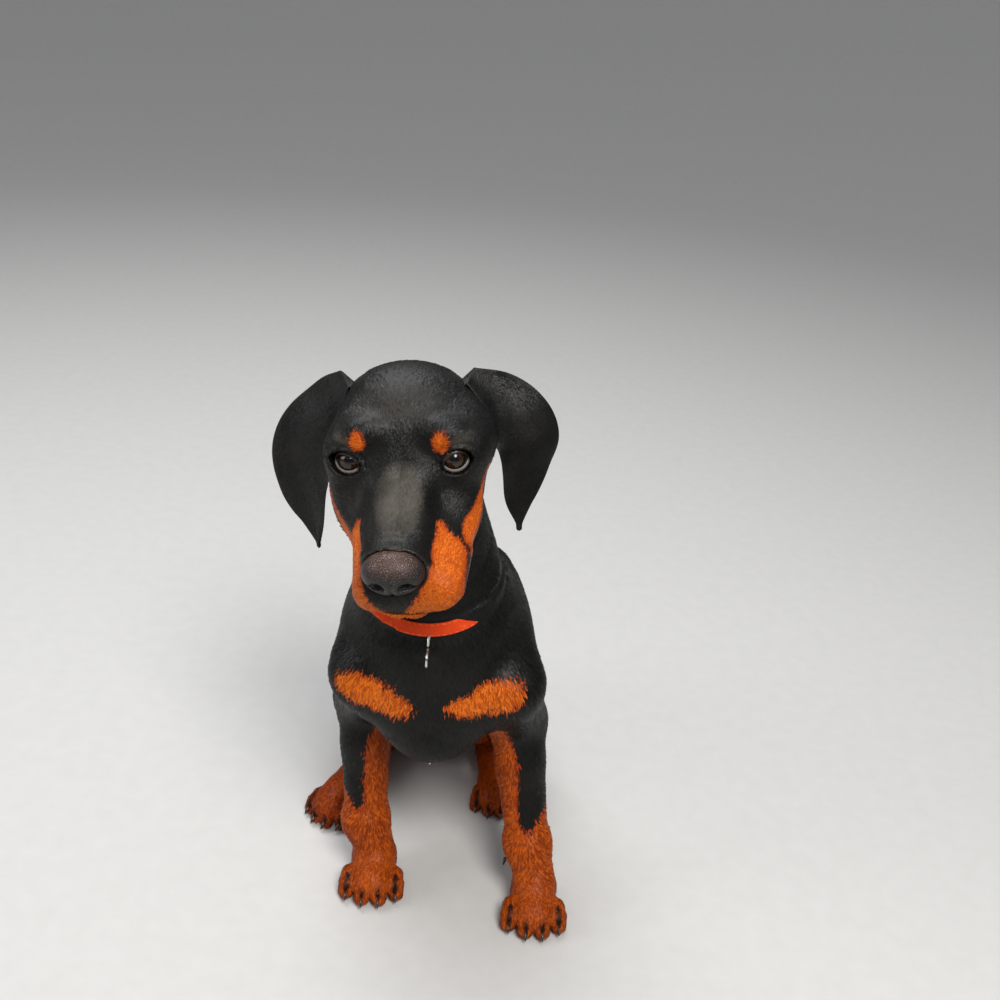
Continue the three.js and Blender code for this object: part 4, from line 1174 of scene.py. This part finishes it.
face_middle = skin_vertices[skin_quads].mean(1)
face_limbs = limb_distances(face_middle)
face_region = region_of(face_middle, face_limbs)
face_head = to_head(face_middle)
is_face = (face_region == 6) & (face_head[:, 1] > -20)
is_skull = (face_region == 6) & ~is_face
is_ear = face_region >= 7
is_paw = (face_middle[:, 2] < 40) & (face_middle[:, 1] < 60) & (face_region >= 1) & (face_region <= 4)
is_leg = (face_region >= 1) & (face_region <= 4) & ~is_paw
is_tail = face_region == 5
is_trunk = face_region == 0
is_front = is_trunk & (face_middle[:, 1] < 0)
is_rear = is_trunk & ~is_front
COATS = [
    ("coat_face", is_face, 26000, (3.0, 0.7), 0.2, 11),
    ("coat_skull", is_skull, 22000, (4.6, 1.0), 0.4, 12),
    ("coat_ears", is_ear, 24000, (3.0, 0.8), 0.12, 13),
    ("coat_front", is_front, 56000, (7.0, 1.3), 0.7, 14),
    ("coat_rear", is_rear, 56000, (7.5, 1.4), 0.8, 15),
    ("coat_legs", is_leg, 50000, (6.0, 1.2), 0.55, 16),
    ("coat_paws", is_paw, 26000, (3.6, 0.9), 0.3, 17),
    ("coat_tail", is_tail, 16000, (4.2, 1.0), 0.3, 18),
]
for name, faces, count, size, lift, seed in COATS:
    make_tufts(name, np.flatnonzero(faces), count, size, lift, seed)

# Eyes: a ball each, with a bulging cornea; brown iris, dark pupil
EYE_RINGS, EYE_SPOKES = 40, 48
CORNEA_RISE, CORNEA_ANGLE = 0.7, 0.42
BACK_OF_EYE = 10
for name, middle in EYES.items():
    gaze = unit((0.07 + OUT[name] * 0.05, 0.72, 0.66))
    across = unit(np.cross(gaze, (0, 0, 1)))
    up = np.cross(across, gaze)
    points, reach, fan = [], [], []
    for a in np.linspace(0, math.pi, EYE_RINGS):
        bulge = EYE_RADIUS + CORNEA_RISE * math.exp(-(a / CORNEA_ANGLE) ** 2)
        for t in np.arange(EYE_SPOKES) * 2 * math.pi / EYE_SPOKES:
            local = np.array([math.sin(a) * math.cos(t), math.sin(a) * math.sin(t), math.cos(a)]) * bulge
            points.append(middle + local[0] * across + local[1] * up + local[2] * gaze)
            reach.append(math.sin(a) * EYE_RADIUS if a < math.pi / 2 else BACK_OF_EYE)
            fan.append((math.cos(t) * 5, math.sin(t) * 5, a * 1.5))
    eye = new_mesh("eyeball_" + name, from_head(points), tube_quads(EYE_RINGS, EYE_SPOKES)[:, ::-1], EYE_LOOK,
                   attributes=dict(reach=np.array(reach), fan=np.array(fan)))
    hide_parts("eye_" + name)

# Lids: a rounded rim round each almond opening, spread over the eyeball and tucked under the skin
LID_PROFILE = [(2.4, 0.1), (0.8, 0.1), (0.0, 0.2), (-0.2, 0.55), (0.0, 0.85), (0.5, 1.1), (1.4, 1.3),
               (2.6, 1.45), (4.0, 1.45), (5.6, 1.1), (7.0, 0.2), (8.0, -1.5)]
LID_SPOKES = 72
for name, middle in EYES.items():
    across, up, gaze = lid_axes(name)
    points, rim, low_lid = [], [], []
    for i in range(LID_SPOKES):
        t = 2 * math.pi * i / LID_SPOKES
        high = LID_UPPER if math.sin(t) > 0 else LID_LOWER
        a = LID_HALF * math.cos(t)
        b = high * math.copysign(abs(math.sin(t)) ** 1.25, math.sin(t)) + LID_SLANT * a
        polar = math.asin(min(math.hypot(a, b) / EYE_RADIUS, 0.99))
        turn = math.atan2(b, a)
        side = math.cos(turn) * across + math.sin(turn) * up
        for beyond, lift in LID_PROFILE:
            spread = polar + beyond / EYE_RADIUS
            r = EYE_RADIUS + lift
            points.append(middle + r * math.sin(spread) * side + r * math.cos(spread) * gaze)
            rim.append(beyond)
            low_lid.append(math.sin(t))
    quads = tube_quads(LID_SPOKES, len(LID_PROFILE), closed=True)
    if name == "left":
        quads = quads[:, ::-1]
    lids = new_mesh("lids_" + name, from_head(points), quads, LID_LOOK,
                    attributes=dict(rim=np.array(rim), low=np.array(low_lid)))


# Nose: leather pad with comma-shaped nostrils and a groove down its middle
def nose_field(p):
    q = to_head(p)
    m = q.copy()
    m[:, 0] = np.abs(q[:, 0])
    d = (length((q - NOSE) / NOSE_SIZE) - 1) * 14
    d = joined(d, egg((9.5, 92, -22), (8.5, 6, 8.5))[0](m), 5)
    d = np.maximum(d, length((q - NOSE) / (NOSE_SIZE + 0.1)) * 14 - 14)
    hole = egg((9.2, 98, -25.5), (5.0, 8.5, 4.4))[0](m)
    slit = tapered((11, 96, -27), (18.5, 88, -28.5), 2.1, 1.3)[0](m)
    d = carved(d, -joined(hole, slit, 1.5), 1.6)
    middle = np.hypot(q[:, 0] / 0.9, np.maximum(90 - q[:, 1], 0))
    return d + 1.1 * np.exp(-(q[:, 0] / 1.3) ** 2) * (q[:, 1] > 88) * (middle < 30) * (q[:, 2] < -20)


nose_middle = from_head(NOSE)
axes = [np.arange(nose_middle[i] - 26, nose_middle[i] + 26, 0.85) for i in range(3)]
nose_vertices, nose_quads = grid_net(nose_field, *axes)
nose_vertices = settle(nose_field, nose_vertices, 0.4)
nose_rise = (to_head(nose_vertices) - NOSE) / NOSE_SIZE
nose = new_mesh("nose_pad", nose_vertices, nose_quads, NOSE_LOOK, attributes=dict(height=nose_rise[:, 2]))
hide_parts("nose")

# Claws: short curved horns, one a toe, and a dewclaw inside each wrist
CLAW_RINGS, CLAW_SPOKES = 9, 10
claw_points = []


def add_claw(root, forward, size, radius):
    side = unit(np.cross(forward, (0, 0, 1)))
    shares = [i / (CLAW_RINGS - 1) for i in range(CLAW_RINGS)]
    path = [root + forward * size * s * (1 - 0.12 * s) - np.array([0, 0, 1]) * size * 0.52 * s * s
            for s in shares]
    for i, s in enumerate(shares):
        heading = unit(path[min(i + 1, CLAW_RINGS - 1)] - path[max(i - 1, 0)])
        lift = np.cross(side, heading)
        r = radius * math.sqrt(max(1 - s ** 1.7, 0.012))
        for j in range(CLAW_SPOKES):
            a = 2 * math.pi * j / CLAW_SPOKES
            claw_points.append(path[i] + side * math.cos(a) * r * 0.72 + lift * math.sin(a) * r)


for legs, size in ((FORELEGS, FOREPAW), (HINDLEGS, HINDPAW)):
    for leg in legs.values():
        _, forward = paw_frame(leg)
        for knuckle, tip, r in toes(leg, size):
            add_claw(tip + forward * (r - 3.6) + [0, 0, 0.8], forward, 6.2, 2.3)
for side_name, leg in FORELEGS.items():
    out = OUT[side_name]
    add_claw(leg["wrist"] + [-out * 17, -6, -14], unit((-out * 0.35, -0.5, -0.8)), 5.5, 2.1)
starts = range(0, len(claw_points), CLAW_RINGS * CLAW_SPOKES)
claw_quads = np.concatenate([start + tube_quads(CLAW_RINGS, CLAW_SPOKES) for start in starts])
claws = new_mesh("claws", np.array(claw_points), claw_quads, CLAW_LOOK)

# Collar: a flat woven strap that lies on the neck, with two rows of stitches; it dips under the loose skin
STRAP_STEPS, STRAP_SIDES = 220, 14
STRAP_LEVEL = 3.0
STITCH_ROW, STITCH_HALF = 4.0, 0.5
DIP = 5.0


def rounded(x):
    return np.sign(x) * abs(x) ** 0.45


profile = []
for k in range(STRAP_SIDES):
    a = 2 * math.pi * k / STRAP_SIDES
    profile.append((rounded(math.sin(a)) * COLLAR_THICK / 2, rounded(math.cos(a)) * COLLAR_WIDTH / 2))
angles = np.arange(STRAP_STEPS) * 2 * math.pi / STRAP_STEPS
rays = np.cos(angles)[:, None] * COLLAR_X + np.sin(angles)[:, None] * COLLAR_Y


def neck_radius(height):
    """How far the neck reaches from the collar's middle, round a level above the collar's own."""
    r = np.full(STRAP_STEPS, 90.0)
    for _ in range(14):
        r -= merge_all(BODY, COLLAR_MIDDLE + rays * r[:, None] + COLLAR_NORMAL * height) * 0.9
    return r


def smooth_step(x):
    x = np.clip(x, 0, 1)
    return x * x * (3 - 2 * x)


low_r, high_r = neck_radius(-STRAP_LEVEL), neck_radius(STRAP_LEVEL)
lean = np.arctan2(high_r - low_r, 2 * STRAP_LEVEL)
lean = sum(np.roll(lean, n) for n in range(-3, 4)) / 7
mid_r = (low_r + high_r) / 2
degrees = (np.degrees(angles) + 180) % 360 - 180
strap_points, weave, stitch = [], [], []
arc = np.concatenate([[0], np.cumsum(length(np.diff(rays * mid_r[:, None], axis=0)))])
for i in range(STRAP_STEPS):
    upward = COLLAR_NORMAL * math.cos(lean[i]) + rays[i] * math.sin(lean[i])
    outward = rays[i] * math.cos(lean[i]) - COLLAR_NORMAL * math.sin(lean[i])
    for off, height in profile:
        raised = height / COLLAR_WIDTH + 0.5
        under = smooth_step((degrees[i] + 62 + 16 * raised) / 20) * smooth_step((32 - degrees[i]) / 16)
        r = COLLAR_EASE + COLLAR_THICK / 2 + off - DIP * under
        strap_points.append(COLLAR_MIDDLE + rays[i] * mid_r[i] + upward * height + outward * r)
        weave.append((arc[i], height, off))
        in_row = abs(abs(height) - STITCH_ROW) < STITCH_HALF
        stitch.append(1.0 if in_row and math.sin(arc[i] * 2.1) > -0.2 and off > 0 else 0.0)
strap_quads = np.roll(tube_quads(STRAP_STEPS, STRAP_SIDES, closed=True)[:, ::-1], 1, axis=1)
strap = new_mesh("collar_band", np.array(strap_points), strap_quads, STRAP_LOOK,
                 attributes=dict(weave=np.array(weave), stitch=np.array(stitch)))
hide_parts("collar")


for node in ("collar_ring", "tag"):
    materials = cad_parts[node].data.materials
    materials.clear()
    materials.append(METAL_LOOK)

# Floor, light and surroundings
FLOOR_SPOKES = 96
FLOOR_DROP = 0.0003
floor_material = Nodes("floor_plaster")
grain = floor_material.noise(floor_material.object_coordinates(), 60.0, 4.0)
floor_material.set(Base_Color=floor_material.mix(grain, (0.52, 0.515, 0.50), (0.58, 0.57, 0.555)),
                   Roughness=0.8)
dish = [(0.001, 0), (1.5, 0), (3.0, 0)]
dish += [(3.0 + 4.0 * math.sin(a), 4.0 - 4.0 * math.cos(a)) for a in np.linspace(0.08, 1.45, 18)]
floor_points = [(r * math.cos(a), r * math.sin(a), z - FLOOR_DROP)
                for r, z in dish for a in np.linspace(0, 2 * math.pi, FLOOR_SPOKES, endpoint=False)]
floor_faces = tube_quads(len(dish), FLOOR_SPOKES)[:, ::-1].tolist()
floor_mesh = bpy.data.meshes.new("floor")
floor_mesh.from_pydata(floor_points, [], floor_faces)
floor_mesh.shade_smooth()
floor_mesh.materials.append(floor_material.material)
floor = bpy.data.objects.new("floor", floor_mesh)
bpy.context.collection.objects.link(floor)

world = bpy.data.worlds.new("studio")
bpy.context.scene.world = world
world.use_nodes = True
world.node_tree.nodes["Background"].inputs[0].default_value = (0.93, 0.96, 1.0, 1)
world.node_tree.nodes["Background"].inputs[1].default_value = 0.37


def soft_light(name, where, target, size, power, colour=(1, 1, 1)):
    data = bpy.data.lights.new(name, "AREA")
    data.shape = "DISK"
    data.size = size
    data.energy = power
    data.color = colour
    light = bpy.data.objects.new(name, data)
    bpy.context.collection.objects.link(light)
    where, target = np.array(where, float), np.array(target, float)
    z = unit(where - target)
    x = unit(np.cross((0, 0, 1), z))
    y = np.cross(z, x)
    light.matrix_world = Matrix([[x[i], y[i], z[i], where[i]] for i in range(3)] + [[0, 0, 0, 1]])


soft_light("key", (0.5, -1.3, 1.9), (0, -0.1, 0.25), 0.9, 40, (1.0, 0.98, 0.95))
soft_light("top", (-0.5, 0.5, 2.2), (0, 0, 0.25), 1.4, 30, (0.96, 0.98, 1.0))
soft_light("side", (-1.8, -0.5, 1.0), (0, 0, 0.25), 1.0, 9)
